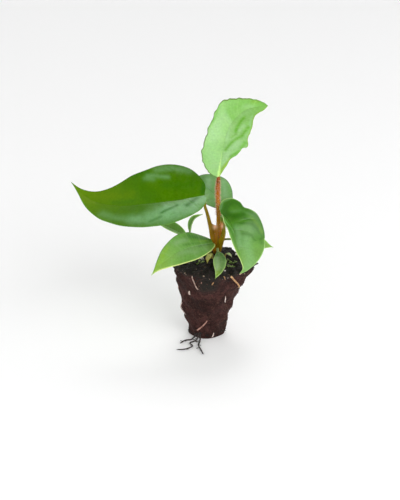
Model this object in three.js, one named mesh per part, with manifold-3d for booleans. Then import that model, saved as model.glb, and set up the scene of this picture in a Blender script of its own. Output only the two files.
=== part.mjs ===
// A young Philodendron squamiferum, lifted out with its tapered plug of soil and standing on it.
// Millimetres, +Z up. The origin is the centre of the plug's flat foot, and -Y is the front.
import * as THREE from 'three';
import { mergeVertices } from 'three/addons/utils/BufferGeometryUtils.js';
import Module from 'manifold-3d';

const wasm = await Module();
wasm.setup();

// Driving dimensions
const CLEARANCE = 0.3; // between pieces that touch
const PLUG_HEIGHT = 45; // to the rim of the soil
const PLUG_FOOT_RADIUS = 9.9;
const PLUG_RIM_RADIUS = 22.2;
const PLUG_DEPTH_RATIO = 0.95; // front to back against side to side
const PLUG_FLARE = 1.35; // 1 is a straight taper, more opens late
const PLUG_LEAN = 4.2; // how far the rim's centre lies to the right of the foot's
const PLUG_TURN = THREE.MathUtils.degToRad(40); // its squarish section, about Z
const PLUG_SQUARENESS = 2.6; // 2 is round
const MOUND_HEIGHT = 3.4; // soil heaped round the stem
const MOUND_RADIUS = 8;
const RIM_DROP = 1.1; // rounding of the rim, over the outer RIM_SHARE of the radius
const RIM_SHARE = 0.12;
const FIRM_FOOT = 6; // the lumps of the side fade out below this height
const CRUMB_COUNT = 32;
const CRUMB_SIZES = [0.8, 1.7];
const ROOT_RADIUS = 0.5; // of the wiry roots on the ground
const ROOT_TAPER = 0.25;
const CROWN = new THREE.Vector3(5.9, 5.6, 0); // where the stem leaves the soil
const LARGE_BLADE_THICKNESS = 0.8;
const SMALL_BLADE_THICKNESS = 0.65;
const SOFT_FOLD = 0.6; // rounding of the fold at the midrib
const VEIN_SWEEP = 1.35; // how strongly the side veins lean towards the tip
const VEIN_BEND = 1.3;
const VEIN_SPREAD = 0.03; // keeps the first side veins apart at the base
const WAVE_SPAN = [0.08, 0.98]; // the part of a half sine by which the margin's waves fade
const OUTLINE_STEPS = 240;
const FRAME_STEPS = 100; // places along a midrib at which a blade's directions are kept
const FRAME_REACH = 9; // steps to either side over which a direction is averaged
const OFFSET_WIDTH = 4; // half width below which a blade's faces are offset straight up and down
const SLIVER = 0.01; // joined solids lose details smaller than this
const RANDOM_SEED = 11;

// Small helpers

const v3 = ([x, y, z]) => new THREE.Vector3(x, y, z);

const lerp = THREE.MathUtils.lerp;

function makeRandom(seed) {
  let state = seed;
  return () => {
    state = (state * 48271) % 2147483647;
    return state / 2147483647;
  };
}

// Value of evenly spaced stations (numbers or arrays) at a share of the length.
function station(values, share, ease = (f) => f) {
  const at = THREE.MathUtils.clamp(share, 0, 1) * (values.length - 1);
  const low = Math.min(Math.floor(at), values.length - 2);
  const part = ease(at - low);
  return values[low].map((value, i) => lerp(value, values[low + 1][i], part));
}

const smoothStep = (f) => f * f * (3 - 2 * f);

// Directions along a curve, each averaged with its neighbours, the nearer the more.
function soften(directions) {
  const last = directions.length - 1;
  return directions.map((_, i) => {
    const sum = new THREE.Vector3();
    for (let k = -FRAME_REACH; k <= FRAME_REACH; k += 1) {
      const neighbour = directions[THREE.MathUtils.clamp(i + k, 0, last)];
      sum.addScaledVector(neighbour, FRAME_REACH + 1 - Math.abs(k));
    }
    return sum.normalize().toArray();
  });
}

function closedGeometry(positions, triangles) {
  const geometry = new THREE.BufferGeometry();
  geometry.setAttribute('position', new THREE.Float32BufferAttribute(positions, 3));
  geometry.setIndex(triangles);
  return geometry;
}

// Joining and cutting closed meshes

function toSolid(geometry) {
  const plain = new THREE.BufferGeometry();
  plain.setAttribute('position', geometry.getAttribute('position'));
  if (geometry.index) plain.setIndex(geometry.index);
  const merged = mergeVertices(plain);
  return new wasm.Manifold(new wasm.Mesh({
    numProp: 3,
    vertProperties: new Float32Array(merged.getAttribute('position').array),
    triVerts: new Uint32Array(merged.index.array),
  }));
}

function toGeometry(solid) {
  const mesh = solid.simplify(SLIVER).getMesh();
  const geometry = new THREE.BufferGeometry();
  geometry.setAttribute('position', new THREE.BufferAttribute(mesh.vertProperties, 3));
  geometry.setIndex(new THREE.BufferAttribute(mesh.triVerts, 1));
  return geometry;
}

function fuse(...geometries) {
  const solids = geometries.map(toSolid);
  return toGeometry(solids.reduce((whole, solid) => whole.add(solid)));
}

// Round stalks and roots

// A round, tapering tube through [x, y, z, radius] stations, with flat ends. `grow` makes it
// that much fatter and longer all round, for the hole that it stands in.
function stalk(stations, { sides = 8, steps = 14, grow = 0 } = {}) {
  const points = stations.map(v3);
  const path = new THREE.CatmullRomCurve3(points);
  const outward = [path.getTangent(0).multiplyScalar(-grow), path.getTangent(1).multiplyScalar(grow)];
  points[0].add(outward[0]);
  points[points.length - 1].add(outward[1]);
  const radii = new THREE.CatmullRomCurve3(stations.map(([, , , r], i) => new THREE.Vector3(i, r, 0)));
  const frames = path.computeFrenetFrames(steps, false);
  const positions = [];
  const triangles = [];
  for (let i = 0; i <= steps; i += 1) {
    const u = path.getUtoTmapping(i / steps);
    const centre = path.getPoint(u);
    const radius = radii.getPoint(u).y + grow;
    for (let k = 0; k < sides; k += 1) {
      const angle = (k / sides) * 2 * Math.PI;
      const point = centre.clone()
        .addScaledVector(frames.normals[i], radius * Math.cos(angle))
        .addScaledVector(frames.binormals[i], radius * Math.sin(angle));
      positions.push(...point.toArray());
    }
  }
  const first = positions.length / 3;
  positions.push(...path.getPoint(0).toArray(), ...path.getPoint(1).toArray());
  for (let i = 0; i < steps; i += 1) {
    for (let k = 0; k < sides; k += 1) {
      const next = (k + 1) % sides;
      const a = i * sides + k;
      const b = i * sides + next;
      triangles.push(a, b, b + sides, a, b + sides, a + sides);
    }
  }
  for (let k = 0; k < sides; k += 1) {
    const next = (k + 1) % sides;
    triangles.push(first, next, k);
    triangles.push(first + 1, steps * sides + k, steps * sides + next);
  }
  return closedGeometry(positions, triangles);
}

// Leaf blades

// Half outlines run from the base round the lobe to the tip, as [share of length, share of half width].
const OUTLINES = {
  leftNear: [
    [0, 0.05], [0, 0.2], [0.03, 0.45], [0.11, 0.77], [0.22, 0.94], [0.38, 1],
    [0.53, 0.92], [0.67, 0.68], [0.79, 0.39], [0.89, 0.15], [0.95, 0.06], [1, 0.015],
  ],
  leftFar: [
    [0, 0.05], [-0.03, 0.3], [-0.01, 0.62], [0.04, 0.88], [0.11, 1.02], [0.22, 1.05],
    [0.38, 0.9], [0.53, 0.74], [0.68, 0.48], [0.83, 0.22], [0.93, 0.08], [1, 0.015],
  ],
  topLeft: [
    [0, 0.06], [0.01, 0.25], [0.044, 0.52], [0.104, 0.74], [0.178, 0.93], [0.25, 1.01],
    [0.34, 0.98], [0.45, 0.96], [0.54, 0.95], [0.6, 1.03], [0.645, 1.06], [0.68, 1],
    [0.74, 0.76], [0.81, 0.54], [0.9, 0.37], [0.965, 0.21], [1, 0.03],
  ],
  topRight: [
    [0, 0.06], [0.03, 0.1], [0.13, 0.28], [0.21, 0.4], [0.255, 0.56], [0.285, 0.665],
    [0.32, 0.72], [0.355, 0.76], [0.37, 0.82], [0.385, 0.95], [0.4, 0.97], [0.43, 0.94],
    [0.48, 0.89], [0.57, 0.85], [0.65, 0.82], [0.71, 0.745], [0.77, 0.62], [0.835, 0.41],
    [0.89, 0.3], [0.937, 0.225], [0.97, 0.14], [1, 0.03],
  ],
  rightOuter: [
    [0, 0.03], [-0.09, 0.14], [-0.142, 0.3], [-0.13, 0.46], [-0.06, 0.59], [0.02, 0.645],
    [0.075, 0.658], [0.1, 0.637], [0.118, 0.64], [0.16, 0.765], [0.21, 0.86], [0.29, 0.92],
    [0.39, 0.957], [0.47, 0.99], [0.58, 1.02], [0.687, 1.02], [0.75, 0.925], [0.79, 0.775],
    [0.835, 0.54], [0.888, 0.25], [0.93, 0.13], [1, 0.02],
  ],
  rightInner: [
    [0, 0.05], [0, 0.1], [0.03, 0.22], [0.1, 0.42], [0.2, 0.565], [0.3, 0.67], [0.38, 0.84],
    [0.45, 0.95], [0.52, 0.81], [0.61, 0.57], [0.7, 0.42], [0.79, 0.24], [0.88, 0.08],
    [1, 0.02],
  ],
  backNear: [
    [0, 0.05], [-0.03, 0.3], [0.05, 0.6], [0.2, 0.87], [0.4, 0.98], [0.6, 0.85],
    [0.78, 0.52], [0.9, 0.22], [1, 0.015],
  ],
  backFar: [
    [0, 0.05], [-0.06, 0.25], [-0.03, 0.6], [0.1, 0.88], [0.26, 1.1], [0.44, 1.18],
    [0.62, 1.05], [0.8, 0.65], [0.93, 0.25], [1, 0.015],
  ],
  lowNear: [
    [0, 0.05], [0, 0.25], [0.06, 0.5], [0.2, 0.83], [0.4, 1], [0.6, 0.85],
    [0.78, 0.5], [0.9, 0.2], [1, 0.015],
  ],
  lowFar: [
    [0, 0.05], [0, 0.3], [0.08, 0.62], [0.22, 0.92], [0.42, 1], [0.62, 0.8],
    [0.8, 0.42], [0.92, 0.15], [1, 0.015],
  ],
  lance: [
    [0, 0.05], [0.03, 0.3], [0.2, 0.75], [0.42, 1], [0.6, 0.9], [0.8, 0.5],
    [0.92, 0.2], [1, 0.015],
  ],
};

// A blade on a curved midrib. `face` is the way its upper side looks at stations from base to
// tip, `fold` how far its [left, right] halves rise in degrees, `arch` how far they curl back,
// and `wave` ripples the margin. Left is the left hand of someone who stands on the upper
// side, at the base, and looks to the tip.
class Blade {
  constructor({ rib, face, half, outline, fold, arch = [0, 0], wave, thickness, ridge = 0 }) {
    this.path = new THREE.CatmullRomCurve3(rib.map(v3));
    this.length = this.path.getLength();
    const shares = Array.from({ length: FRAME_STEPS + 1 }, (_, i) => i / FRAME_STEPS);
    this.tangents = soften(shares.map((share) => this.path.getTangentAt(share)));
    this.normals = soften(shares.map((share) => v3(station(face, share, smoothStep)).normalize()));
    this.half = half;
    this.outline = outline.map((points) => {
      const curve = new THREE.CatmullRomCurve3(points.map(([x, y]) => new THREE.Vector3(x, y / 2, 0)));
      return curve.getSpacedPoints(OUTLINE_STEPS).map((p) => [p.x, p.y * 2]);
    });
    this.fold = Array.isArray(fold[0]) ? fold : [fold, fold];
    this.arch = arch;
    this.wave = wave;
    this.thickness = thickness;
    this.ridge = ridge;
  }

  // Flat place of vein t (0 base, 1 tip) at v (-1 left margin, 0 midrib, 1 right margin).
  flat(t, v) {
    const side = v > 0 ? 1 : 0;
    const [edgeX, edgeY] = station(this.outline[side], t);
    const ribX = lerp(t ** VEIN_SWEEP, t, VEIN_SPREAD);
    const away = Math.abs(v);
    return { x: lerp(ribX, edgeX, away ** VEIN_BEND), y: edgeY * away * this.half[side], side };
  }

  // Place, normal and left direction on the midrib at x, a share of the length.
  frame(x) {
    const share = THREE.MathUtils.clamp(x, 0, 1);
    const tangent = v3(station(this.tangents, share)).normalize();
    const centre = this.path.getPointAt(share).addScaledVector(tangent, Math.min(x, 0) * this.length);
    const normal = v3(station(this.normals, share));
    normal.addScaledVector(tangent, -normal.dot(tangent)).normalize();
    return { share, centre, normal, left: new THREE.Vector3().crossVectors(normal, tangent) };
  }

  // Middle surface of the blade at (t, v).
  point(t, v) {
    const { x, y, side } = this.flat(t, v);
    const { share, centre, normal, left } = this.frame(x);
    const width = this.half[side];
    const fold = station(this.fold, share)[side];
    const angle = THREE.MathUtils.degToRad(fold - (this.arch[side] * y) / width / 2);
    const reach = Math.sqrt(y * y + SOFT_FOLD * SOFT_FOLD) - SOFT_FOLD;
    const { height, count, phase } = this.wave;
    const fade = Math.sin(Math.PI * lerp(...WAVE_SPAN, share));
    const ripple = height * (y / width) ** 2 * Math.sin(2 * Math.PI * count * x + phase[side]) * fade;
    return centre
      .addScaledVector(left, (side ? -1 : 1) * reach * Math.cos(angle))
      .addScaledVector(normal, reach * Math.sin(angle) + ripple);
  }

  // Closed solid: the middle surface moved half the thickness to each side, with the midrib's
  // ridge below, and both faces split into the same triangles.
  solid(rows, columns) {
    const across = [...columns.slice().reverse().map((v) => -v), 0, ...columns];
    const wide = across.length;
    const middle = [];
    for (let i = 1; i < rows; i += 1) {
      for (const v of across) middle.push(this.point(i / rows, v));
    }
    const base = middle.length;
    const tip = base + 1;
    middle.push(this.point(0, 0), this.point(1, 0));
    const upper = [];
    for (let i = 0; i < rows - 2; i += 1) {
      for (let k = 0; k < wide - 1; k += 1) {
        const a = i * wide + k;
        const c = a + wide;
        if (k < wide / 2 - 1) upper.push(a, a + 1, c, a + 1, c + 1, c);
        else upper.push(a, a + 1, c + 1, a, c + 1, c);
      }
    }
    const last = (rows - 2) * wide;
    for (let k = 0; k < wide - 1; k += 1) {
      upper.push(base, k + 1, k);
      upper.push(last + k, last + k + 1, tip);
    }
    const sheet = closedGeometry(middle.flatMap((p) => p.toArray()), upper);
    sheet.computeVertexNormals();
    const normals = sheet.getAttribute('normal');
    // The stored order turns the sheet's normals towards the blade's upper side or away from it.
    const up = v3(station(this.normals, 0.5));
    const centre = Math.floor(last / 2) + Math.floor(wide / 2);
    const probe = new THREE.Vector3().fromBufferAttribute(normals, centre);
    const sign = probe.dot(up) > 0 ? 1 : -1;
    const count = middle.length;
    const top = [];
    const under = [];
    middle.forEach((p, i) => {
      const t = i < base ? (Math.floor(i / wide) + 1) / rows : i - base;
      const width = (this.flat(t, -1).y + this.flat(t, 1).y) / 2;
      const follow = smoothStep(Math.min(1, width / OFFSET_WIDTH));
      const n = this.frame(this.flat(t, 0).x).normal.multiplyScalar(1 - follow)
        .addScaledVector(new THREE.Vector3().fromBufferAttribute(normals, i), sign * follow)
        .normalize();
      const onRib = i >= base || i % wide === (wide - 1) / 2;
      const ridge = onRib ? this.ridge * (1 - t) : 0;
      top.push(...p.clone().addScaledVector(n, this.thickness / 2).toArray());
      under.push(...p.clone().addScaledVector(n, -this.thickness / 2 - ridge).toArray());
    });
    const triangles = [];
    const addTriangle = (a, b, c) => (sign > 0 ? triangles.push(a, b, c) : triangles.push(a, c, b));
    for (let i = 0; i < upper.length; i += 3) {
      addTriangle(upper[i], upper[i + 1], upper[i + 2]);
      addTriangle(upper[i] + count, upper[i + 2] + count, upper[i + 1] + count);
    }
    const leftRim = [base, ...Array.from({ length: rows - 1 }, (_, i) => i * wide), tip];
    const rightRim = [base, ...Array.from({ length: rows - 1 }, (_, i) => i * wide + wide - 1), tip];
    for (let i = 0; i < rows; i += 1) {
      const [l, m] = [leftRim[i], leftRim[i + 1]];
      const [r, s] = [rightRim[i], rightRim[i + 1]];
      addTriangle(l, m, m + count);
      addTriangle(l, m + count, l + count);
      addTriangle(r, s + count, s);
      addTriangle(r, r + count, s + count);
    }
    return closedGeometry([...top, ...under], triangles);
  }
}

const STILL = { height: 0, count: 1, phase: [0, 0] };
const WIDE_COLUMNS = [0.07, 0.28, 0.52, 0.77, 1];
const NARROW_COLUMNS = [0.28, 0.62, 1];

const bladeTop = new Blade({
  rib: [
    [6.8, 3, 95.6], [7.9, 3, 104.9], [9.8, 4, 115.9], [13.8, 6, 126.5],
    [22.2, 9, 133.9], [34.8, 12, 135.6],
  ],
  face: [[0, -1, 0.3], [0.1, -1, 0.35], [0, -0.9, 0.6]],
  half: [12.4, 15],
  outline: [OUTLINES.topLeft, OUTLINES.topRight],
  fold: [12, 16],
  wave: { height: 0.8, count: 3.5, phase: [0.5, 2] },
  thickness: LARGE_BLADE_THICKNESS,
  ridge: 0.9,
});

const bladeLeft = new Blade({
  rib: [
    [-0.9, 2, 85], [-15.2, -3, 84.1], [-32.2, -6, 82.8], [-50.5, -6, 81.5],
    [-63.8, -2, 82.5], [-72.7, 4, 86.4], [-78, 8, 91.1],
  ],
  face: [[0, -0.45, 0.85], [0.05, -0.6, 0.8], [0.25, -0.75, 0.6]],
  half: [18, 25.4],
  outline: [OUTLINES.leftNear, OUTLINES.leftFar],
  fold: [14, 10],
  arch: [10, 10],
  wave: { height: 0.6, count: 2.2, phase: [0.5, 2] },
  thickness: LARGE_BLADE_THICKNESS,
  ridge: 0.9,
});

const bladeRight = new Blade({
  rib: [
    [8.5, -3.8, 75.2], [11.1, -6.5, 74.1], [13.6, -11, 71.9], [15.5, -14.5, 68.7], [16.3, -18, 64.9],
    [18, -20.5, 59.2], [20.2, -22.3, 53.8], [20.6, -23.7, 50.1], [18.6, -24.5, 47.3],
  ],
  face: [
    [-0.07, -0.5, 0.86], [0.3, -0.5, 0.75], [0.65, -0.45, 0.55], [0.65, -0.48, 0.5],
    [0.3, -0.9, 0.2],
  ],
  half: [20, 14],
  outline: [OUTLINES.rightOuter, OUTLINES.rightInner],
  fold: [[25, 70], [22, 38], [22, 30], [20, 30], [15, 30]],
  arch: [12, 0],
  wave: { height: 0.3, count: 2.2, phase: [0.5, 2] },
  thickness: LARGE_BLADE_THICKNESS,
  ridge: 0.8,
});

// Small leaves: each is a blade with the stalk that it stands on.
const SMALL_LEAVES = [
  {
    name: 'leaf_back',
    colour: 0x7fae78,
    sheet: {
      rib: [
        [9.6, 9.5, 75.8], [5.5, 14.5, 79.5], [0.9, 20, 82.5], [-3.8, 24.5, 84.9],
        [-9.1, 28.5, 85.7],
      ],
      face: [[0.1, -0.6, 0.8], [0, -0.55, 0.85]],
      half: [11, 10.5],
      outline: [OUTLINES.backNear, OUTLINES.backFar],
      fold: [10, 10],
      wave: { height: 0.2, count: 2.2, phase: [0.5, 2] },
      ridge: 0.6,
    },
    rows: 16,
    columns: WIDE_COLUMNS,
    stalk: [
      [7, 11.2, 40, 1], [7.6, 11.6, 50, 1], [10.2, 11.4, 62, 0.9], [11.2, 9.8, 71, 0.8],
      [9.2, 10, 75.8, 0.6],
    ],
  },
  {
    name: 'leaf_low_left',
    colour: 0x83ac67,
    sheet: {
      rib: [
        [3.8, 0, 56.5], [-3.8, -5, 57.2], [-11.2, -8, 56.6], [-19.8, -11, 52.8],
        [-26.7, -14, 47.9], [-31.8, -16, 42.8],
      ],
      face: [[-0.2, -0.5, 0.85], [-0.2, -0.6, 0.8], [-0.4, -0.6, 0.7]],
      half: [11, 11],
      outline: [OUTLINES.lowNear, OUTLINES.lowFar],
      fold: [10, 10],
      arch: [10, 10],
      wave: { height: 0.3, count: 2.2, phase: [0.5, 2] },
      ridge: 0.6,
    },
    rows: 18,
    columns: WIDE_COLUMNS,
    stalk: [[1.2, 3, 41, 0.8], [1.7, 2.6, 48, 0.8], [2.9, 1.4, 54, 0.8], [3.4, 0.2, 56.2, 0.7]],
  },
  {
    name: 'leaf_front',
    colour: 0x789664,
    sheet: {
      rib: [[6.6, -9, 54.8], [7.6, -13, 53], [7.6, -18, 50.8], [6.7, -22, 47.5], [4.7, -24.5, 44]],
      face: [[0.1, -0.6, 0.8], [0.1, -0.9, 0.4]],
      half: [4.2, 4.8],
      outline: [OUTLINES.lance, OUTLINES.lance],
      fold: [20, 15],
      wave: STILL,
      ridge: 0.4,
    },
    rows: 12,
    columns: NARROW_COLUMNS,
    stalk: [[6.4, 0.3, 42, 0.7], [6.3, 0, 50, 0.7], [6.3, -3.5, 54.4, 0.65], [6.7, -9.4, 54.5, 0.55]],
  },
  {
    name: 'leaf_back_right',
    colour: 0x86a860,
    sheet: {
      rib: [[19.7, 12, 53], [25.6, 14, 51.6], [32.6, 15, 49.4], [39.7, 16, 47.4]],
      face: [[0.1, -0.4, 0.9], [0.1, -0.4, 0.9]],
      half: [7.5, 7.5],
      outline: [OUTLINES.lowFar, OUTLINES.lowFar],
      fold: [20, 20],
      wave: STILL,
      ridge: 0.4,
    },
    rows: 12,
    columns: NARROW_COLUMNS,
    stalk: [
      [8.2, 8.7, 41, 0.7], [8.3, 8.8, 50, 0.7], [9.6, 9.2, 54.6, 0.7],
      [13.6, 10.2, 54.9, 0.65], [17, 11.2, 54, 0.6], [20.4, 12.3, 52.8, 0.5],
    ],
  },
  {
    name: 'leaf_side_outer',
    colour: 0x5f8a45,
    sheet: {
      rib: [[-11.1, 11, 55.2], [-16.7, 12, 58.6], [-23.1, 13, 61.4], [-33, 14, 66]],
      face: [[-0.1, -0.2, 1], [-0.1, -0.2, 1]],
      half: [5.8, 5.8],
      outline: [OUTLINES.lance, OUTLINES.lance],
      fold: [22, 22],
      wave: STILL,
      ridge: 0.4,
    },
    rows: 12,
    columns: NARROW_COLUMNS,
    stalk: [[-7.6, 9.6, 40, 0.8], [-7.8, 10, 47, 0.8], [-9.4, 10.6, 53, 0.7], [-11.7, 11.1, 55.3, 0.55]],
  },
  {
    name: 'leaf_side_inner',
    colour: 0x6f9a50,
    sheet: {
      rib: [[-9.8, 13, 58.2], [-8.9, 14, 62.3], [-7.2, 14.5, 65.8], [-4.7, 15, 67.5], [-2, 16, 68.4]],
      face: [[-0.8, -0.5, 0.4], [-0.3, -0.5, 0.9]],
      half: [3, 3],
      outline: [OUTLINES.lance, OUTLINES.lance],
      fold: [40, 40],
      wave: STILL,
      ridge: 0.4,
    },
    rows: 12,
    columns: NARROW_COLUMNS,
    stalk: [[-9.4, 13.4, 40, 0.7], [-9.8, 13.4, 50, 0.7], [-9.9, 13, 57, 0.6], [-9.6, 13.2, 59.2, 0.5]],
  },
  {
    name: 'sheath_withered',
    colour: 0xb3a04f,
    sheet: {
      rib: [[3.1, -0.9, 50.4], [2.1, -2.9, 49.9], [0.9, -5, 48.4], [0.4, -6.8, 46.4]],
      face: [[-0.3, -0.5, 0.8], [-0.3, -0.7, 0.5]],
      half: [1.9, 1.9],
      outline: [OUTLINES.lance, OUTLINES.lance],
      fold: [25, 25],
      wave: STILL,
      ridge: 0,
    },
    rows: 8,
    columns: [0.5, 1],
    stalk: [[3.4, 0, 42, 0.6], [3.4, -0.2, 47, 0.6], [3.3, -0.6, 49.8, 0.5], [2.7, -1.6, 50.3, 0.35]],
  },
  {
    name: 'sheath_pale',
    colour: 0xa9b98a,
    sheet: {
      rib: [[11.4, 1.6, 49.1], [12.7, 1, 49.3], [13.9, 0.4, 48.7], [14.8, -0.2, 47.6]],
      face: [[0.3, -0.6, 0.8], [0.5, -0.6, 0.6]],
      half: [1.3, 1.3],
      outline: [OUTLINES.lance, OUTLINES.lance],
      fold: [20, 20],
      wave: STILL,
      ridge: 0,
    },
    rows: 8,
    columns: [0.5, 1],
    stalk: [[10.6, 2, 42, 0.5], [10.7, 1.9, 47, 0.5], [11.2, 1.7, 48.8, 0.4], [12, 1.3, 49.1, 0.3]],
  },
];

// Stem: the short crown and the three main leaf stalks that sheathe one another there.
const STEM_STALKS = {
  crown: [
    [5.9, 5.6, 39, 2], [5.9, 5.6, 46, 2.1], [5.9, 5.2, 52, 2.3], [6.2, 4.4, 58, 2.6],
    [6.6, 4, 62, 1.8],
  ],
  top: [
    [6, 5.4, 50, 2], [6.2, 4.8, 57.6, 2.1], [7.1, 4, 65.5, 1.6], [7, 3.5, 73.1, 1.35],
    [6.5, 3, 81.9, 1.25], [6.5, 3, 90.4, 1.25], [6.8, 3, 95.2, 1.1],
  ],
  left: [
    [5, 4.4, 51, 1.9], [3.5, 3.6, 59.5, 1.6], [2.1, 3, 66.5, 1.25], [0.3, 2.5, 74.1, 0.95],
    [-1.1, 2.2, 79.2, 0.85], [-1, 2.4, 83.45, 0.8],
  ],
  right: [
    [6.8, 4.6, 50.5, 1.9], [8, 3.1, 56.5, 2.2], [9.1, 1.6, 61.4, 2], [9.3, -0.3, 67.1, 1.6],
    [8.9, -2.2, 71.9, 1.15], [8.65, -3.05, 73.9, 1],
  ],
};

// Soil plug

// Broad lumps of the side: [height, waves round the plug, radians per millimetre up it, phase].
const SOIL_LUMPS = [[0.55, 3, 0.19, 1.1], [0.45, 5, -0.31, 2.3], [0.35, 9, 0.52, 0], [0.3, 2, 0.83, 0]];

// Ripples of the top: [height, radians per millimetre to the right, the same to the back, phase].
const SOIL_RIPPLES = [[0.35, 0.9, 0.4, 0], [0.3, 0.5, -0.95, 1]];

// Rings of the surface: heights up the side, then shares of the radius inwards over the top.
const SOIL_SEGMENTS = 32;
const FOOT_SHARES = [0, 0.55, 0.94];
const SIDE_HEIGHTS = [1.4, 6, 11, 16, 21, 26, 31, 36, 40.5, 43.6];
const TOP_SHARES = [0.97, 0.88, 0.72, 0.54, 0.38, 0.24, 0.12, 0];

function soilCentreX(z) {
  return PLUG_LEAN * (z / PLUG_HEIGHT) ** 2;
}

function sectionShape(angle) {
  const a = angle - PLUG_TURN;
  const sum = Math.abs(Math.cos(a)) ** PLUG_SQUARENESS + Math.abs(Math.sin(a)) ** PLUG_SQUARENESS;
  return sum ** (-1 / PLUG_SQUARENESS);
}

function soilRadius(angle, z) {
  const share = z / PLUG_HEIGHT;
  const size = lerp(PLUG_FOOT_RADIUS, PLUG_RIM_RADIUS, share ** PLUG_FLARE);
  const lumps = SOIL_LUMPS.reduce((sum, [height, round, up, phase]) => (
    sum + height * Math.sin(round * angle + up * z + phase)), 0);
  return size * sectionShape(angle) + lumps * Math.min(1, z / FIRM_FOOT);
}

function soilTop(x, y) {
  const fromStem = Math.hypot(x - CROWN.x, y - CROWN.y) / MOUND_RADIUS;
  const ripple = SOIL_RIPPLES.reduce((sum, [height, right, back, phase]) => (
    sum + height * Math.sin(right * x + back * y + phase)), 0);
  return PLUG_HEIGHT + MOUND_HEIGHT * Math.exp(-fromStem * fromStem) + ripple;
}

// Point at an angle and height on the side of the plug, `out` millimetres proud of it.
function onSoilSide(degrees, z, out) {
  const angle = THREE.MathUtils.degToRad(degrees);
  const radius = soilRadius(angle, z) + out;
  return [soilCentreX(z) + radius * Math.cos(angle), radius * Math.sin(angle) * PLUG_DEPTH_RATIO, z];
}

// The profile is turned first with shares of the radius, and each point then moved to its place.
function soilBody() {
  const profile = [
    ...FOOT_SHARES.map((share) => new THREE.Vector2(share, 0)),
    ...SIDE_HEIGHTS.map((z) => new THREE.Vector2(1, z)),
    ...TOP_SHARES.map((share) => new THREE.Vector2(share, PLUG_HEIGHT)),
  ];
  const lathe = new THREE.LatheGeometry(profile, SOIL_SEGMENTS);
  const plain = new THREE.BufferGeometry();
  plain.setAttribute('position', lathe.getAttribute('position'));
  plain.setIndex(lathe.index);
  plain.rotateX(Math.PI / 2);
  const merged = mergeVertices(plain);
  const place = merged.getAttribute('position');
  for (let i = 0; i < place.count; i += 1) {
    const share = Math.hypot(place.getX(i), place.getY(i));
    const angle = Math.atan2(place.getY(i), place.getX(i));
    const z = Math.abs(place.getZ(i));
    const radius = soilRadius(angle, z) * share;
    const x = soilCentreX(z) + radius * Math.cos(angle);
    const y = radius * Math.sin(angle) * PLUG_DEPTH_RATIO;
    const onTop = z > SIDE_HEIGHTS[SIDE_HEIGHTS.length - 1] + 1;
    const drop = (RIM_DROP * Math.max(0, share - 1 + RIM_SHARE)) / RIM_SHARE;
    place.setXYZ(i, x, y, onTop ? soilTop(x, y) - drop : z);
  }
  return merged;
}

// Crumbs and specks of the mix, sunk into the top and the upper side.
function soilCrumbs() {
  const random = makeRandom(RANDOM_SEED);
  const rimZ = SIDE_HEIGHTS[SIDE_HEIGHTS.length - 1];
  const crumbs = [];
  for (let i = 0; i < CRUMB_COUNT; i += 1) {
    const degrees = random() * 360;
    const size = lerp(...CRUMB_SIZES, random());
    const crumb = new THREE.IcosahedronGeometry(size, 0);
    crumb.rotateX(random() * Math.PI);
    crumb.rotateZ(random() * Math.PI);
    if (random() < 0.6) {
      const share = lerp(0.35, 0.93, Math.sqrt(random()));
      const [rimX, rimY] = onSoilSide(degrees, rimZ, 0);
      const x = lerp(soilCentreX(rimZ), rimX, share);
      const y = rimY * share;
      crumb.translate(x, y, soilTop(x, y) - size * 0.4);
    } else {
      crumb.translate(...onSoilSide(degrees, lerp(9, 41, random()), -size * 0.35));
    }
    crumbs.push(toSolid(crumb));
  }
  return crumbs;
}

// Roots on the side of the plug: [degrees, height, millimetres proud, radius].
const SURFACE_ROOTS = {
  root_straw: {
    colour: 0xbd9d84,
    route: [
      [-66, 44.2, -2.2, 0.55], [-63.5, 43.4, 0.2, 0.6], [-52, 39.8, 0.35, 0.6],
      [-37, 35.2, 0.35, 0.55], [-29, 32.6, 0.2, 0.45], [-27.5, 31.8, -1.6, 0.4],
    ],
  },
  root_pale: {
    colour: 0xa98c7c,
    route: [
      [-124, 44, -2, 0.4], [-123, 42.6, 0.15, 0.45], [-118, 39.6, 0.3, 0.45],
      [-111, 35.6, 0.2, 0.4], [-110, 34.8, -1.4, 0.35],
    ],
  },
  root_low: {
    colour: 0xc09a8a,
    route: [
      [-90, 12.9, -1.6, 0.35], [-91, 11.9, 0.2, 0.45], [-103, 8.5, 0.3, 0.5],
      [-116, 5.8, 0.25, 0.5], [-119, 5.5, -1.3, 0.4],
    ],
  },
};

// Wiry roots that leave the foot of the plug and lie on the ground in front of it.
const TRAILING_ROOTS = [
  [
    [-2.5, -6, 5], [-4.5, -10.6, 3.2], [-6, -13.6, 0.8], [-9.5, -17, 0.7],
    [-8.2, -21.5, 0.7], [-12.5, -25.5, 0.7], [-17.5, -26, 0.7],
  ],
  [
    [-2.5, -6, 5], [-3.6, -11.2, 3], [-3.8, -14.6, 0.8], [-4.6, -20, 0.7],
    [-3.2, -26.5, 0.7], [-1.8, -32.5, 0.7],
  ],
  [[-2.5, -6, 5], [-5.8, -9.8, 2.8], [-8.6, -12.2, 0.8], [-12, -13.4, 0.7], [-15.5, -17.5, 0.7]],
];

function surfaceRoot(route, grow = 0) {
  const stations = route.map(([degrees, z, out, radius]) => [...onSoilSide(degrees, z, out), radius]);
  return stalk(stations, { sides: 5, steps: 8, grow });
}

function trailingRoots(grow = 0) {
  const strands = TRAILING_ROOTS.map((route) => {
    const stations = route.map((place, i) => [
      ...place, ROOT_RADIUS * (1 - (ROOT_TAPER * i) / route.length),
    ]);
    return stalk(stations, { sides: 5, steps: 14, grow });
  });
  return fuse(...strands);
}

// Materials

function finish(colour, roughness) {
  return new THREE.MeshStandardMaterial({ color: colour, roughness, metalness: 0 });
}

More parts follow.
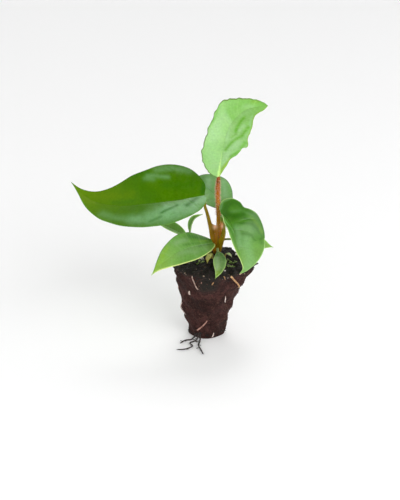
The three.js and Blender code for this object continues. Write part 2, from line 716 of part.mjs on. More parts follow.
const SOIL_BROWN = finish(0x3c2c26, 0.95);
const STALK_BROWN = finish(0x8a6a2c, 0.6);
const LIME_GREEN = finish(0xa4d291, 0.4);
const DEEP_GREEN = finish(0x4f8418, 0.35);
const MID_GREEN = finish(0x6a9f48, 0.4);
const ROOT_DARK = finish(0x2b211c, 0.9);

// The scene graph

const plant = new THREE.Group();

function addPiece(name, geometry, material) {
  const mesh = new THREE.Mesh(geometry, material);
  mesh.name = name;
  plant.add(mesh);
}

const crownFacets = { sides: 10, steps: 8 };
const stem = fuse(
  stalk(STEM_STALKS.crown, crownFacets),
  stalk(STEM_STALKS.top, { sides: 8, steps: 14 }),
  stalk(STEM_STALKS.left, { sides: 8, steps: 10 }),
  stalk(STEM_STALKS.right, { sides: 8, steps: 9 }),
);
const stemHole = stalk(STEM_STALKS.crown, { ...crownFacets, grow: CLEARANCE });

let soil = toSolid(soilBody());
for (const crumb of soilCrumbs()) soil = soil.add(crumb);
soil = soil.subtract(toSolid(stemHole));

for (const leaf of SMALL_LEAVES) {
  const blade = new Blade({ ...leaf.sheet, thickness: SMALL_BLADE_THICKNESS });
  const facets = { sides: 6, steps: 8 };
  const piece = fuse(blade.solid(leaf.rows, leaf.columns), stalk(leaf.stalk, facets));
  addPiece(leaf.name, piece, finish(leaf.colour, 0.45));
  soil = soil.subtract(toSolid(stalk(leaf.stalk, { ...facets, grow: CLEARANCE })));
}

for (const [name, { colour, route }] of Object.entries(SURFACE_ROOTS)) {
  addPiece(name, surfaceRoot(route), finish(colour, 0.8));
  soil = soil.subtract(toSolid(surfaceRoot(route, CLEARANCE)));
}

addPiece('roots_trailing', trailingRoots(), ROOT_DARK);
soil = soil.subtract(toSolid(trailingRoots(CLEARANCE)));

addPiece('soil_plug', toGeometry(soil), SOIL_BROWN);
addPiece('stem_with_stalks', stem, STALK_BROWN);
addPiece('blade_top', bladeTop.solid(32, WIDE_COLUMNS), LIME_GREEN);
addPiece('blade_left', bladeLeft.solid(26, WIDE_COLUMNS), DEEP_GREEN);
addPiece('blade_right', bladeRight.solid(32, WIDE_COLUMNS), MID_GREEN);

export default plant;
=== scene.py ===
"""Finished looks of a young Philodendron squamiferum that stands on its plug of soil.

Shapes are worked out in millimetres, and MM turns them into Blender's metres. The frame is the
CAD's: +Z up, -Y the front, the origin in the middle of the plug's flat foot.
"""

import math

import bpy
import numpy as np
from bpy.props import FloatProperty, FloatVectorProperty, IntProperty, PointerProperty
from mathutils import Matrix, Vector, noise


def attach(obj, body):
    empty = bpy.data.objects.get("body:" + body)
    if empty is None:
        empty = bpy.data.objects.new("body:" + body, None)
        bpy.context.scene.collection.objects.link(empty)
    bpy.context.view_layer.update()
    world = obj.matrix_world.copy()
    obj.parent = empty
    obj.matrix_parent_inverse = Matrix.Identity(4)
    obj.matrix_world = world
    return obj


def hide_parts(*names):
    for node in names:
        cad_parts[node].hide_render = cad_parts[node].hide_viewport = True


bl_info = {
    "name": "Young Philodendron in a Soil Plug",
    "version": (1, 0, 0),
    "blender": (4, 5, 0),
    "location": "View3D > Sidebar > Plant",
    "description": "Builds the leaves, stalks, bristles, soil and roots of a starter plant",
    "category": "Add Mesh",
}

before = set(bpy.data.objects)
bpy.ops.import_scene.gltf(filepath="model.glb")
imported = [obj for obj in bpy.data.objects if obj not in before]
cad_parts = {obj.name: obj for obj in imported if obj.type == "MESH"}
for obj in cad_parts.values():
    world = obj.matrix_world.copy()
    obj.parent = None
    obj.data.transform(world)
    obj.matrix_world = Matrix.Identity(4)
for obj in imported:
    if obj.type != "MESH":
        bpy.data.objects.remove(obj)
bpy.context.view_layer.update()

MM = 0.001
FULL_TURN = 2 * math.pi
BODY = "root"


# Colours

def linear(red, green, blue):
    """Blender's linear colour of an sRGB one, given as 0 to 255."""
    shares = (value / 255 for value in (red, green, blue))
    return tuple(s / 12.92 if s <= 0.04045 else ((s + 0.055) / 1.055) ** 2.4 for s in shares)


def darker(colour, share):
    return tuple(share * part for part in colour)


def leaf_paint(**parts):
    """How a kind of leaf looks: how rough it is, how strong its side veins are, up to which share
    of the length its midrib is pale, how much light it lets through, how glossy it is, and the
    widths of its midrib and margin in millimetres. Then its colours: body and light patches, tip,
    midrib, side veins, the margins, underside, and its marks: the painted sheen, which is painted
    highlights and reflections, the deep marks, partly dark veins and partly painted shade, and
    the warm tints."""
    parts = {"right_margin": parts["left_margin"], **PAINT_DEFAULTS, **parts}
    return {
        name: linear(*part) if isinstance(part, tuple) else part for name, part in parts.items()
    }


PAINT_DEFAULTS = dict(glow=0.25, gloss=0.45, rib_width=0.7, margin_width=0.5)
LEAF_PAINTS = {
    "lime": leaf_paint(
        # Its wide, very pale midrib is partly the pale rib and partly a painted highlight along it.
        rough=0.42, veins=0.25, pale_rib=0.55, glow=0.3, rib_width=2.1, margin_width=0.8,
        body=(128, 180, 96), light=(152, 194, 124), tip=(116, 172, 70), rib=(212, 248, 150),
        vein=(156, 202, 116), left_margin=(78, 104, 22), right_margin=(122, 160, 44),
        under=(164, 204, 130), bloom=(152, 194, 134), deep=(98, 162, 42), warm=(126, 166, 0),
    ),
    "deep": leaf_paint(
        rough=0.27, veins=0.1, pale_rib=0.3, glow=0.2, gloss=0.12, body=(62, 108, 0),
        light=(73, 116, 0), tip=(96, 132, 0), rib=(140, 184, 96), vein=(84, 128, 8),
        left_margin=(96, 140, 62), right_margin=(48, 88, 20), under=(110, 152, 70),
        bloom=(122, 170, 118), deep=(40, 98, 10), warm=(106, 134, 0),
    ),
    "mid": leaf_paint(
        rough=0.34, veins=0.12, pale_rib=0.8, glow=0.22, gloss=0.4, margin_width=0.7,
        body=(68, 122, 20), light=(86, 140, 44), tip=(118, 162, 68), rib=(168, 206, 138),
        vein=(70, 118, 32), left_margin=(158, 196, 116), right_margin=(190, 214, 136),
        under=(126, 166, 92), bloom=(120, 168, 108), deep=(44, 100, 0), warm=(112, 156, 20),
    ),
    "bluish": leaf_paint(
        rough=0.42, veins=0.25, pale_rib=0.6, body=(104, 154, 82), light=(128, 166, 108),
        tip=(96, 150, 74), rib=(150, 190, 140), vein=(120, 162, 104), left_margin=(78, 118, 74),
        right_margin=(70, 110, 64), under=(134, 168, 122), bloom=(148, 184, 144),
        deep=(84, 146, 56), warm=(112, 154, 60),
    ),
    "pale": leaf_paint(
        rough=0.38, veins=0.35, pale_rib=0.9, margin_width=0.85, body=(96, 148, 54),
        light=(118, 168, 84), tip=(142, 184, 60), rib=(160, 196, 118), vein=(136, 176, 102),
        left_margin=(216, 228, 140), right_margin=(96, 132, 56), under=(146, 180, 110),
        bloom=(136, 168, 118), deep=(56, 116, 26), warm=(134, 176, 26),
    ),
    "grey": leaf_paint(
        rough=0.42, veins=0.4, pale_rib=0.8, body=(102, 140, 68), light=(124, 156, 96),
        tip=(104, 130, 20), rib=(148, 176, 120), vein=(134, 162, 108), left_margin=(160, 188, 108),
        right_margin=(152, 182, 104), under=(130, 160, 100), bloom=(134, 160, 118),
        deep=(66, 112, 44), warm=(106, 138, 20),
    ),
    "young": leaf_paint(
        rough=0.4, veins=0.4, pale_rib=0.9, margin_width=0.6, body=(96, 142, 54),
        light=(122, 164, 82), tip=(134, 176, 76), rib=(150, 190, 104), vein=(118, 164, 78),
        left_margin=(168, 200, 110), under=(134, 174, 92), bloom=(118, 160, 84), deep=(66, 116, 30),
        warm=(120, 170, 40),
    ),
    "withered": leaf_paint(
        rough=0.6, veins=0.6, pale_rib=1, glow=0.2, margin_width=0.6, body=(190, 190, 96),
        light=(218, 216, 140), tip=(176, 166, 88), rib=(190, 176, 108), vein=(140, 120, 54),
        left_margin=(190, 176, 90), under=(176, 160, 88), bloom=(196, 184, 110),
        deep=(140, 122, 52), warm=(190, 172, 70),
    ),
    "papery": leaf_paint(
        rough=0.55, veins=0.5, pale_rib=1, margin_width=0.6, body=(176, 194, 128),
        light=(204, 214, 164), tip=(196, 200, 140), rib=(184, 200, 146), vein=(142, 158, 100),
        left_margin=(206, 212, 156), under=(170, 184, 134), bloom=(184, 196, 152),
        deep=(136, 154, 98), warm=(176, 190, 90),
    ),
}

SOIL_DRY = linear(60, 35, 32)
SOIL_WET = linear(30, 28, 24)
SOIL_RUST = linear(78, 48, 46)

# Finishes of one mottled colour: colour, dark colour, roughness, and the grain's scale.
PLAIN_LOOKS = {
    "straw root": ((206, 166, 118), (158, 112, 72), 0.7, 500),
    "pale root": ((176, 150, 136), (124, 98, 88), 0.75, 500),
    "pink root": ((190, 146, 130), (140, 98, 86), 0.75, 500),
    "white root": ((232, 214, 204), (186, 164, 154), 0.7, 500),
    "dark root": ((52, 38, 31), (24, 18, 15), 0.7, 500),
    "peat fibre": ((128, 92, 70), (84, 58, 46), 0.9, 700),
    "perlite": ((252, 246, 240), (222, 210, 204), 0.85, 1500),
    "moss": ((156, 176, 104), (100, 124, 54), 0.7, 1500),
}
# Shades of crumbs, each from its share of the crumbs up: share, colour.
DARK_SHADES = (
    (0, (26, 23, 21)), (0.5, (38, 32, 28)), (0.8, (56, 43, 37)), (0.94, (84, 62, 50)),
    (0.985, (150, 130, 112)),
)
BROWN_SHADES = (
    (0, (52, 38, 34)), (0.4, (72, 51, 45)), (0.7, (90, 62, 52)), (0.93, (128, 98, 80)),
    (0.985, (188, 172, 160)),
)

# Leaf shapes. Half outlines run from the base round the lobe to the tip, as (share of the
# length, share of the half width).
OUTLINES = {
    "left_near": (
        (0, 0.05), (0, 0.2), (0.03, 0.45), (0.11, 0.77), (0.22, 0.94), (0.38, 1), (0.53, 0.92),
        (0.67, 0.68), (0.79, 0.39), (0.89, 0.15), (0.95, 0.06), (1, 0.015),
    ),
    "left_far": (
        (0, 0.05), (-0.03, 0.3), (-0.01, 0.62), (0.04, 0.88), (0.11, 1.02), (0.22, 1.05),
        (0.38, 0.9), (0.53, 0.74), (0.68, 0.48), (0.83, 0.22), (0.93, 0.08), (1, 0.015),
    ),
    "top_left": (
        (0, 0.06), (0.01, 0.25), (0.044, 0.52), (0.104, 0.74), (0.178, 0.93), (0.25, 1.01),
        (0.34, 0.98), (0.45, 0.96), (0.54, 0.95), (0.6, 1.03), (0.645, 1.06), (0.68, 1),
        (0.74, 0.76), (0.81, 0.54), (0.9, 0.37), (0.965, 0.21), (1, 0.03),
    ),
    "top_right": (
        (0, 0.06), (0.03, 0.1), (0.13, 0.28), (0.21, 0.4), (0.255, 0.56), (0.285, 0.665),
        (0.32, 0.72), (0.355, 0.76), (0.37, 0.82), (0.385, 0.95), (0.4, 0.97), (0.43, 0.94),
        (0.48, 0.89), (0.57, 0.85), (0.65, 0.82), (0.71, 0.745), (0.77, 0.62), (0.835, 0.41),
        (0.89, 0.3), (0.937, 0.225), (0.97, 0.14), (1, 0.03),
    ),
    "right_outer": (
        (0, 0.03), (-0.09, 0.14), (-0.142, 0.3), (-0.13, 0.46), (-0.06, 0.59), (0.02, 0.645),
        (0.075, 0.658), (0.1, 0.637), (0.118, 0.64), (0.16, 0.765), (0.21, 0.86), (0.29, 0.92),
        (0.39, 0.957), (0.47, 0.99), (0.58, 1.02), (0.687, 1.02), (0.75, 0.925), (0.79, 0.775),
        (0.835, 0.54), (0.888, 0.25), (0.93, 0.13), (1, 0.02),
    ),
    "right_inner": (
        (0, 0.05), (0, 0.1), (0.03, 0.22), (0.1, 0.42), (0.2, 0.565), (0.3, 0.67), (0.38, 0.84),
        (0.45, 0.95), (0.52, 0.81), (0.61, 0.57), (0.7, 0.42), (0.79, 0.24), (0.88, 0.08),
        (1, 0.02),
    ),
    "back_near": (
        (0, 0.05), (-0.03, 0.3), (0.05, 0.6), (0.2, 0.87), (0.4, 0.98), (0.6, 0.85), (0.78, 0.52),
        (0.9, 0.22), (1, 0.015),
    ),
    "back_far": (
        (0, 0.05), (-0.06, 0.25), (-0.03, 0.6), (0.1, 0.88), (0.26, 1.1), (0.44, 1.18),
        (0.62, 1.05), (0.8, 0.65), (0.93, 0.25), (1, 0.015),
    ),
    "low_near": (
        (0, 0.05), (0, 0.25), (0.06, 0.5), (0.2, 0.83), (0.4, 1), (0.6, 0.85), (0.78, 0.5),
        (0.9, 0.2), (1, 0.015),
    ),
    "low_far": (
        (0, 0.05), (0, 0.3), (0.08, 0.62), (0.22, 0.92), (0.42, 1), (0.62, 0.8), (0.8, 0.42),
        (0.92, 0.15), (1, 0.015),
    ),
    "lance": (
        (0, 0.05), (0.03, 0.3), (0.2, 0.75), (0.42, 1), (0.6, 0.9), (0.8, 0.5), (0.92, 0.2),
        (1, 0.015),
    ),
}

# Each leaf: the midrib's points; the way its upper side faces, the rise of its (left, right)
# halves in degrees and their arch; half widths and outlines; (height, count) of the margin's
# waves, and of its fine scallops on each side; how far the midrib stands out below; the number of
# side veins, how far the blade bulges between them, and how much further they sweep to the tip;
# how deep the midrib lies above; (rows, columns) of its mesh. One value for both halves stands
# alone. A stalk is (x, y, z, radius) points. All lengths are in millimetres.
LEAF_DEFAULTS = dict(wave=(0, 1), arch=0, scallop=((0, 1), (0, 1)), groove=0.2, sweep=0)
LEAVES = {
    "top_leaf_blade": dict(
        node="blade_top", slot="leaf_lime", paint="lime", half=(12.4, 15),
        outline=("top_left", "top_right"), wave=(0.8, 3.5), scallop=((0.26, 15), (0.14, 9)),
        ridge=0.6, veins=8, bulge=(0.1, 0.34), groove=0.1, grid=(170, 34),
        rib=(
            (6.8, 3, 95.6), (7.9, 3, 104.9), (9.8, 4, 115.9), (13.8, 6, 126.5), (22.2, 9, 133.9),
            (34.8, 12, 135.6),
        ),
        face=((0, -1, 0.3), (0.1, -1, 0.35), (0, -0.9, 0.6)), fold=((12, 16),),
    ),
    "left_leaf_blade": dict(
        node="blade_left", slot="leaf_deep", paint="deep", half=(18, 25.4),
        outline=("left_near", "left_far"), arch=10, wave=(0.6, 2.2), scallop=((0.12, 6), (0.1, 5)),
        ridge=0.7, veins=9, bulge=(0.22, 0.14), groove=0.2, grid=(170, 36),
        rib=(
            (-0.9, 2, 85), (-15.2, -3, 84.1), (-32.2, -6, 82.8), (-50.5, -6, 81.5),
            (-63.8, -2, 82.5), (-72.7, 4, 86.4), (-78, 8, 91.1),
        ),
        face=((0, -0.45, 0.85), (0.05, -0.6, 0.8), (0.25, -0.75, 0.6)), fold=((14, 10),),
    ),
    "right_leaf_blade": dict(
        node="blade_right", slot="leaf_mid", paint="mid", half=(20, 14),
        outline=("right_outer", "right_inner"), arch=(12, 0), wave=(0.3, 2.2),
        scallop=((0.1, 6), (0.05, 5)), ridge=0.6, veins=9, bulge=(0.07, 0.05), sweep=0.12,
        groove=0.15, grid=(170, 36),
        rib=(
            (8.5, -3.8, 75.2), (11.1, -6.5, 74.1), (13.6, -11, 71.9), (15.5, -14.5, 68.7),
            (16.3, -18, 64.9), (18, -20.5, 59.2), (20.2, -22.3, 53.8), (20.6, -23.7, 50.1),
            (18.6, -24.5, 47.3),
        ),
        face=(
            (-0.07, -0.5, 0.86), (0.3, -0.5, 0.75), (0.65, -0.45, 0.55), (0.65, -0.48, 0.5),
            (0.3, -0.9, 0.2),
        ),
        fold=((25, 70), (22, 38), (22, 30), (20, 30), (15, 30)),
    ),
    "back_leaf": dict(
        node="leaf_back", slot="leaf_bluish", paint="bluish", half=(11, 10.5),
        outline=("back_near", "back_far"), wave=(0.2, 2.2), ridge=0.5, veins=6, bulge=0.18,
        grid=(90, 22),
        rib=(
            (9.6, 9.5, 75.8), (5.5, 14.5, 79.5), (0.9, 20, 82.5), (-3.8, 24.5, 84.9),
            (-9.1, 28.5, 85.7),
        ),
        face=((0.1, -0.6, 0.8), (0, -0.55, 0.85)), fold=((10, 10),),
        stalk=(
            (7, 11.2, 40, 1), (7.6, 11.6, 50, 1), (10.2, 11.4, 62, 0.9), (11.2, 9.8, 71, 0.8),
            (9.2, 10, 75.8, 0.6),
        ),
    ),
    "low_left_leaf": dict(
        node="leaf_low_left", slot="leaf_pale", paint="pale", half=11,
        outline=("low_near", "low_far"), arch=10, wave=(0.3, 2.2), ridge=0.5, veins=7, bulge=0.15,
        grid=(120, 24),
        rib=(
            (3.8, 0, 56.5), (-3.8, -5, 57.2), (-11.2, -8, 56.6), (-19.8, -11, 52.8),
            (-26.7, -14, 47.9), (-31.8, -16, 42.8),
        ),
        face=((-0.2, -0.5, 0.85), (-0.2, -0.6, 0.8), (-0.4, -0.6, 0.7)), fold=((10, 10),),
        stalk=((1.2, 3, 41, 0.8), (1.7, 2.6, 48, 0.8), (2.9, 1.4, 54, 0.8), (3.4, 0.2, 56.2, 0.7)),
    ),
    "front_leaf": dict(
        node="leaf_front", slot="leaf_grey", paint="grey", half=(4.2, 4.8), outline="lance",
        ridge=0.3, veins=6, bulge=0.08, grid=(70, 14),
        rib=((6.6, -9, 54.8), (7.6, -13, 53), (7.6, -18, 50.8), (6.7, -22, 47.5), (4.7, -24.5, 44)),
        face=((0.1, -0.6, 0.8), (0.1, -0.9, 0.4)), fold=((20, 15),),
        stalk=(
            (6.4, 0.3, 42, 0.7), (6.3, 0, 50, 0.7), (6.3, -3.5, 54.4, 0.65),
            (6.7, -9.4, 54.5, 0.55),
        ),
    ),
    "back_right_leaf": dict(
        node="leaf_back_right", slot="leaf_pale", paint="young", half=7.5, outline="low_far",
        ridge=0.3, veins=5, bulge=0.1, grid=(70, 16),
        rib=((19.7, 12, 53), (25.6, 14, 51.6), (32.6, 15, 49.4), (39.7, 16, 47.4)),
        face=((0.1, -0.4, 0.9), (0.1, -0.4, 0.9)), fold=((20, 20),),
        stalk=(
            (8.2, 8.7, 41, 0.7), (8.3, 8.8, 50, 0.7), (9.6, 9.2, 54.6, 0.7),
            (13.6, 10.2, 54.9, 0.65), (17, 11.2, 54, 0.6), (20.4, 12.3, 52.8, 0.5),
        ),
    ),
    "side_outer_leaf": dict(
        node="leaf_side_outer", slot="leaf_mid", paint="young", half=5.8, outline="lance",
        ridge=0.3, veins=5, bulge=0.08, grid=(60, 12),
        rib=((-11.1, 11, 55.2), (-16.7, 12, 58.6), (-23.1, 13, 61.4), (-33, 14, 66)),
        face=((-0.1, -0.2, 1), (-0.1, -0.2, 1)), fold=((22, 22),),
        stalk=(
            (-7.6, 9.6, 40, 0.8), (-7.8, 10, 47, 0.8), (-9.4, 10.6, 53, 0.7),
            (-11.7, 11.1, 55.3, 0.55),
        ),
    ),
    "side_inner_leaf": dict(
        node="leaf_side_inner", slot="leaf_mid", paint="young", half=3, outline="lance", ridge=0.3,
        veins=5, bulge=0.05, grid=(60, 12),
        rib=(
            (-9.8, 13, 58.2), (-8.9, 14, 62.3), (-7.2, 14.5, 65.8), (-4.7, 15, 67.5),
            (-2, 16, 68.4),
        ),
        face=((-0.8, -0.5, 0.4), (-0.3, -0.5, 0.9)), fold=((40, 40),),
        stalk=(
            (-9.4, 13.4, 40, 0.7), (-9.8, 13.4, 50, 0.7), (-9.9, 13, 57, 0.6),
            (-9.6, 13.2, 59.2, 0.5),
        ),
    ),
    "withered_sheath": dict(
        node="sheath_withered", slot="sheath_yellow", paint="withered", half=2.3, outline="lance",
        wave=(0.25, 3), ridge=0, veins=4, bulge=0.12, grid=(40, 10),
        rib=((3.1, -0.9, 50.4), (2.1, -2.9, 49.9), (0.9, -5, 48.4), (0.4, -6.8, 46.4)),
        face=((-0.3, -0.5, 0.8), (-0.3, -0.7, 0.5)), fold=((25, 25),),
        stalk=(
            (3.4, 0, 42, 0.6), (3.4, -0.2, 47, 0.6), (3.3, -0.6, 49.8, 0.5),
            (2.7, -1.6, 50.3, 0.35),
        ),
    ),
    "pale_sheath": dict(
        node="sheath_pale", slot="sheath_green", paint="papery", half=1.3, outline="lance",
        wave=(0.15, 3), ridge=0, veins=4, bulge=0.08, grid=(36, 8),
        rib=((11.4, 1.6, 49.1), (12.7, 1, 49.3), (13.9, 0.4, 48.7), (14.8, -0.2, 47.6)),
        face=((0.3, -0.6, 0.8), (0.5, -0.6, 0.6)), fold=((20, 20),),
        stalk=(
            (10.6, 2, 42, 0.5), (10.7, 1.9, 47, 0.5), (11.2, 1.7, 48.8, 0.4), (12, 1.3, 49.1, 0.3),
        ),
    ),
}

# Marks on the leaves, by kind: half width in millimetres, strength, and the line that they follow
# as (share of the length, signed millimetres from the midrib, where left is negative). The
# painted sheen marks are painted highlights and reflections; the deep marks are partly dark
# veins and partly painted shade; the warm marks are yellower tints.
LEAF_MARKS = {
    "left_leaf_blade": {
        "bloom": (
            (4.8, 0.8, ((0.02, -3.6), (0.17, -7), (0.29, -8.3))),
            (3.4, 0.5, ((0.29, -8.3), (0.4, -9.8))),
            (3.2, 0.52, ((0.12, -11.8), (0.26, -13.6), (0.39, -13.4), (0.49, -11.8))),
            (2.2, 0.3, ((0.49, -11.8), (0.61, -9.8), (0.68, -8))),
            (1.3, 0.38, ((0.38, 19.1), (0.22, 17))), (1.3, 0.3, ((0.4, 16.9), (0.34, 16.1))),
            (2.2, 0.34, ((0.3, 22.6), (0.15, 24), (0.04, 20))),
        ),
        "deep": (
            (0.8, 0.75, ((0.32, -9.2), (0.21, -5))), (0.7, 0.55, ((0.4, -14.2), (0.33, -11.8))),
            (1.4, 0.85, ((0.15, -6.6), (0.07, -2.1))), (1.2, 0.8, ((0.01, 2.3), (-0.02, 8.8))),
            (1.4, 0.5, ((0.51, 19.6), (0.37, 21.4))), (1.2, 0.35, ((0.64, 2.4), (0.5, 3.3))),
            (2.1, 0.3, ((0.27, 11.8), (0.07, 9.4))),
        ),
        "warm": (
            (2.1, 0.35, ((0.86, -1.4), (0.78, -1.3))), (2.6, 0.22, ((0.79, 4.7), (0.51, 7.7))),
        ),
    },
    "top_leaf_blade": {
        "bloom": (
            (3.9, 0.5, ((0.13, -4), (0.28, -7.3), (0.44, -7.9))),
            (2.9, 0.45, ((0.44, -7.9), (0.56, -7.6))), (1.4, 0.45, ((0.61, -7.7), (0.57, -0.9))),
            (1.3, 0.7, ((0.53, 0), (0.4, 1.6))),
            (2.2, 0.75, ((0.15, 2.6), (0.28, 4.2), (0.4, 8.7))),
            (1.4, 0.35, ((0.77, -3.3), (0.84, -0.8))), (0.8, 0.65, ((0.55, 6.6), (0.64, 7.4))),
            (2, 0.3, ((0.7, 2.4), (0.8, 1.8))), (0.9, 0.45, ((0.7, 9.6), (0.8, 6.2))),
        ),
        "deep": (
            (0.9, 1, ((0.52, 5), (0.63, 4.3), (0.71, 3.9))),
            (0.8, 0.95, ((0.3, 2.4), (0.39, 4.8), (0.51, 9.5), (0.67, 9.9))),
            (0.8, 0.9, ((0.24, 6.1), (0.32, 10.3))), (1.1, 0.85, ((0.37, 11.1), (0.43, 12.3))),
            (0.5, 0.5, ((0.44, 4), (0.5, 6))), (1.4, 0.45, ((0.64, -6.8), (0.62, -2))),
            (1.6, 0.4, ((0.7, -5.1), (0.79, -4.7), (0.91, -3), (0.96, -1.2))),
            (0.6, 0.6, ((0.62, -12.4), (0.54, -10.6), (0.47, -11.6))),
        ),
        "warm": (
            (0.8, 0.95, ((0.03, 1.2), (0.09, 2), (0.15, 3.9), (0.21, 5.8))),
            (0.8, 0.4, ((0.85, -4), (0.9, -3.3))),
        ),
    },
    "right_leaf_blade": {
        "bloom": (
            (1.5, 0.45, ((0.3, -2.4), (0.42, -2.7), (0.58, -2.3))),
            (0.5, 0.8, ((0.21, 6.5), (0.31, 3.1), (0.42, 0))),
            (3.3, 0.5, ((0.5, -7.2), (0.78, -6.2), (0.88, -2.5))),
            (0.6, 0.28, ((0.08, -5.3), (0.15, -10.9), (0.23, -16))),
            (0.5, 0.7, ((-0.07, -3.2), (-0.12, -7), (-0.06, -11.4))),
            (1.5, 0.25, ((0.31, -4.8), (0.37, -12.2))),
        ),
        "deep": (
            (2.2, 0.85, ((0, -4), (-0.03, -7.8), (0.05, -11.5))),
            (1.6, 0.9, ((0.06, -2.2), (0.16, -5.4), (0.18, -10.1))),
            (1, 0.8, ((0.1, -12.2), (0.15, -13.3), (0.24, -16.9), (0.35, -18.3), (0.43, -19.4))),
            (0.6, 0.75, ((0.23, -9.7), (0.29, -14.1), (0.34, -15.9))),
            (0.5, 0.7, ((0.27, -6.1), (0.31, -11.9), (0.36, -14.3), (0.4, -15.7))),
            (0.6, 0.6, ((0.39, -5.2), (0.42, -10.9), (0.55, -13.7))),
            (1.4, 0.55, ((0.4, -17.4), (0.66, -17.6))), (1.6, 0.28, ((0.3, -13.5), (0.52, -12.6))),
            (0.9, 0.85, ((0.31, 7.1), (0.43, 5.1), (0.51, 5.6))),
        ),
        "warm": (
            (0.6, 0.35, ((0.26, -13.4), (0.34, -16), (0.39, -17.4))),
            (0.6, 0.6, ((0.59, 6.1), (0.72, 2.9), (0.86, 0.8))),
        ),
    },
    "low_left_leaf": {
        "bloom": ((1.6, 0.6, ((0.37, 5.5), (0.48, 6.3))), (1.8, 0.4, ((0.52, -1.9), (0.31, -5.7)))),
        "deep": (
            (2.2, 0.8, ((0.3, 8), (0.06, 4.1))), (1.1, 0.5, ((0.24, -1.7), (0.06, -1.2))),
            (0.7, 0.4, ((0.42, 2.9), (0.22, 1.7))),
        ),
        "warm": (
            (1.4, 0.5, ((0.62, 6.7), (0.72, 3.9))), (1.5, 0.7, ((0.83, 2.7), (0.95, 1.1))),
            (0.7, 0.4, ((0.19, 2.9), (0.09, 2.7))),
        ),
    },
    "front_leaf": {
        "bloom": ((1, 0.55, ((0.3, 2.6), (0.71, 1.9))), (0.5, 0.3, ((0.42, -0.5), (0.71, -0.8)))),
        "deep": (
            (1.1, 0.85, ((0.06, 1.9), (0.17, 2.1))), (1.1, 0.55, ((0.32, -2.6), (0.74, -2.1))),
            (1, 0.8, ((0.11, -1.4), (0.32, -2.6))),
        ),
        "warm": ((1.4, 0.85, ((0.8, 0.5), (0.95, 0.3))), (1.2, 0.85, ((0.8, -0.6), (0.95, -0.3)))),
    },
    "back_leaf": {
        "bloom": ((1.7, 0.7, ((0.66, 4.9), (0.54, 0.9))), (1.3, 0.4, ((0.43, 10.1), (0.16, 5.3)))),
        "deep": ((1.3, 0.7, ((0.39, -1.3), (0.26, -3.5))),),
    },
}

MARK_KINDS = ("bloom", "deep", "warm")
LARGE_LEAF = 10  # a blade whose left half is wider than this has the full thickness
SOFT_FOLD = 0.6  # millimetres over which the fold at the midrib is rounded
WAVE_PHASES = (0.5, 2)  # where the waves start on the left and on the right half
# Side veins leave the midrib close together at the base and wider apart to the tip, and curve on
# their way to the margin.
VEIN_SWEEP = 1.35
VEIN_SPREAD = 0.03
VEIN_BEND = 1.3
# Steps between two points of a curve, on half an outline, on a midrib, and of the directions
# along a blade, each averaged with its neighbours up to FRAME_REACH steps away.
CURVE_STEPS = 40
OUTLINE_STEPS = 240
RIB_STEPS = 200
FRAME_STEPS = 100
FRAME_REACH = 9

# The stem's crown and the stalks of the three large leaves, as (x, y, z, radius).
STEM = {
    "crown": (
        (5.9, 5.6, 39, 2), (5.9, 5.6, 46, 2.1), (5.9, 5.2, 52, 2.3), (6.2, 4.4, 58, 2.6),
        (6.6, 4, 62, 1.8),
    ),
    "top": (
        (6, 5.4, 50, 2), (6.2, 4.8, 57.6, 2.1), (7.1, 4, 65.5, 1.6), (7, 3.5, 73.1, 1.35),
        (6.5, 3, 81.9, 1.25), (6.5, 3, 90.4, 1.25), (6.8, 3, 95.2, 1.1),
    ),
    "left": (
        (5, 4.4, 51, 1.9), (3.5, 3.6, 59.5, 1.6), (2.1, 3, 66.5, 1.25), (0.3, 2.5, 74.1, 0.95),
        (-1.1, 2.2, 79.2, 0.85), (-1, 2.4, 83.45, 0.8),
    ),
    "right": (
        (6.8, 4.6, 50.5, 1.9), (8, 3.1, 56.5, 2.2), (9.1, 1.6, 61.4, 2), (9.3, -0.3, 67.1, 1.6),
        (8.9, -2.2, 71.9, 1.15), (8.65, -3.05, 73.9, 1),
    ),
}
STEM_GRAIN = 0.17  # how finely the stalks are meshed where they grow into one another

# Colours along each stalk, from the soil up.
STALK_TINTS = {
    "crown": ((116, 82, 10), (148, 100, 6), (166, 110, 4)),
    "top": (
        (130, 88, 0), (158, 102, 0), (160, 112, 0), (166, 112, 2), (174, 102, 26), (146, 68, 36),
    ),
    "left": ((168, 112, 0), (150, 112, 0), (130, 108, 0), (120, 110, 12)),
    "right": ((130, 104, 0), (144, 122, 0), (146, 136, 0), (112, 144, 44)),
}
# The top stalk's sheath laps over the right stalk up to this x at each height.
SHEATH_EDGE = ((57, 6.7), (60.3, 8.2), (66, 9.3), (69, 9.8), (71, 9.4))
SHEATH_TINTS = ((132, 78, 8), (178, 104, 34), (206, 132, 72))
# Pale skin in the forks: the routes of its tubes. Then (place, reach) of the pale colour: the
# first spot is pale skin in a fork, the second, on the front of the right stalk, a painted
# highlight.
FORKS = (
    ((2.9, 3, 66.9), (4.7, 3.2, 65.7), (6.3, 3.6, 65.2)),
    ((3.2, 3.1, 65.9), (4.8, 3.3, 64.7), (6.3, 3.8, 64.2)),
    ((3.4, 3.2, 64.9), (4.9, 3.4, 63.7), (6.3, 3.9, 63.2)),
    ((3.6, 3.3, 63.9), (4.9, 3.5, 62.8), (6.2, 4, 62.2)),
    ((8.4, 0.6, 70.4), (8.3, 1, 67), (8, 1.6, 63)),
)
FORK_RADIUS = 0.62
PALE_SKIN_AND_HIGHLIGHT_SPOTS = (((4.9, 2.6, 65.6), (1.3, 2, 1.7)), ((9, -1.4, 67.7), (0.6, 2, 1.5)))
PALE_SKIN_AND_HIGHLIGHT_TINT = linear(246, 200, 168)

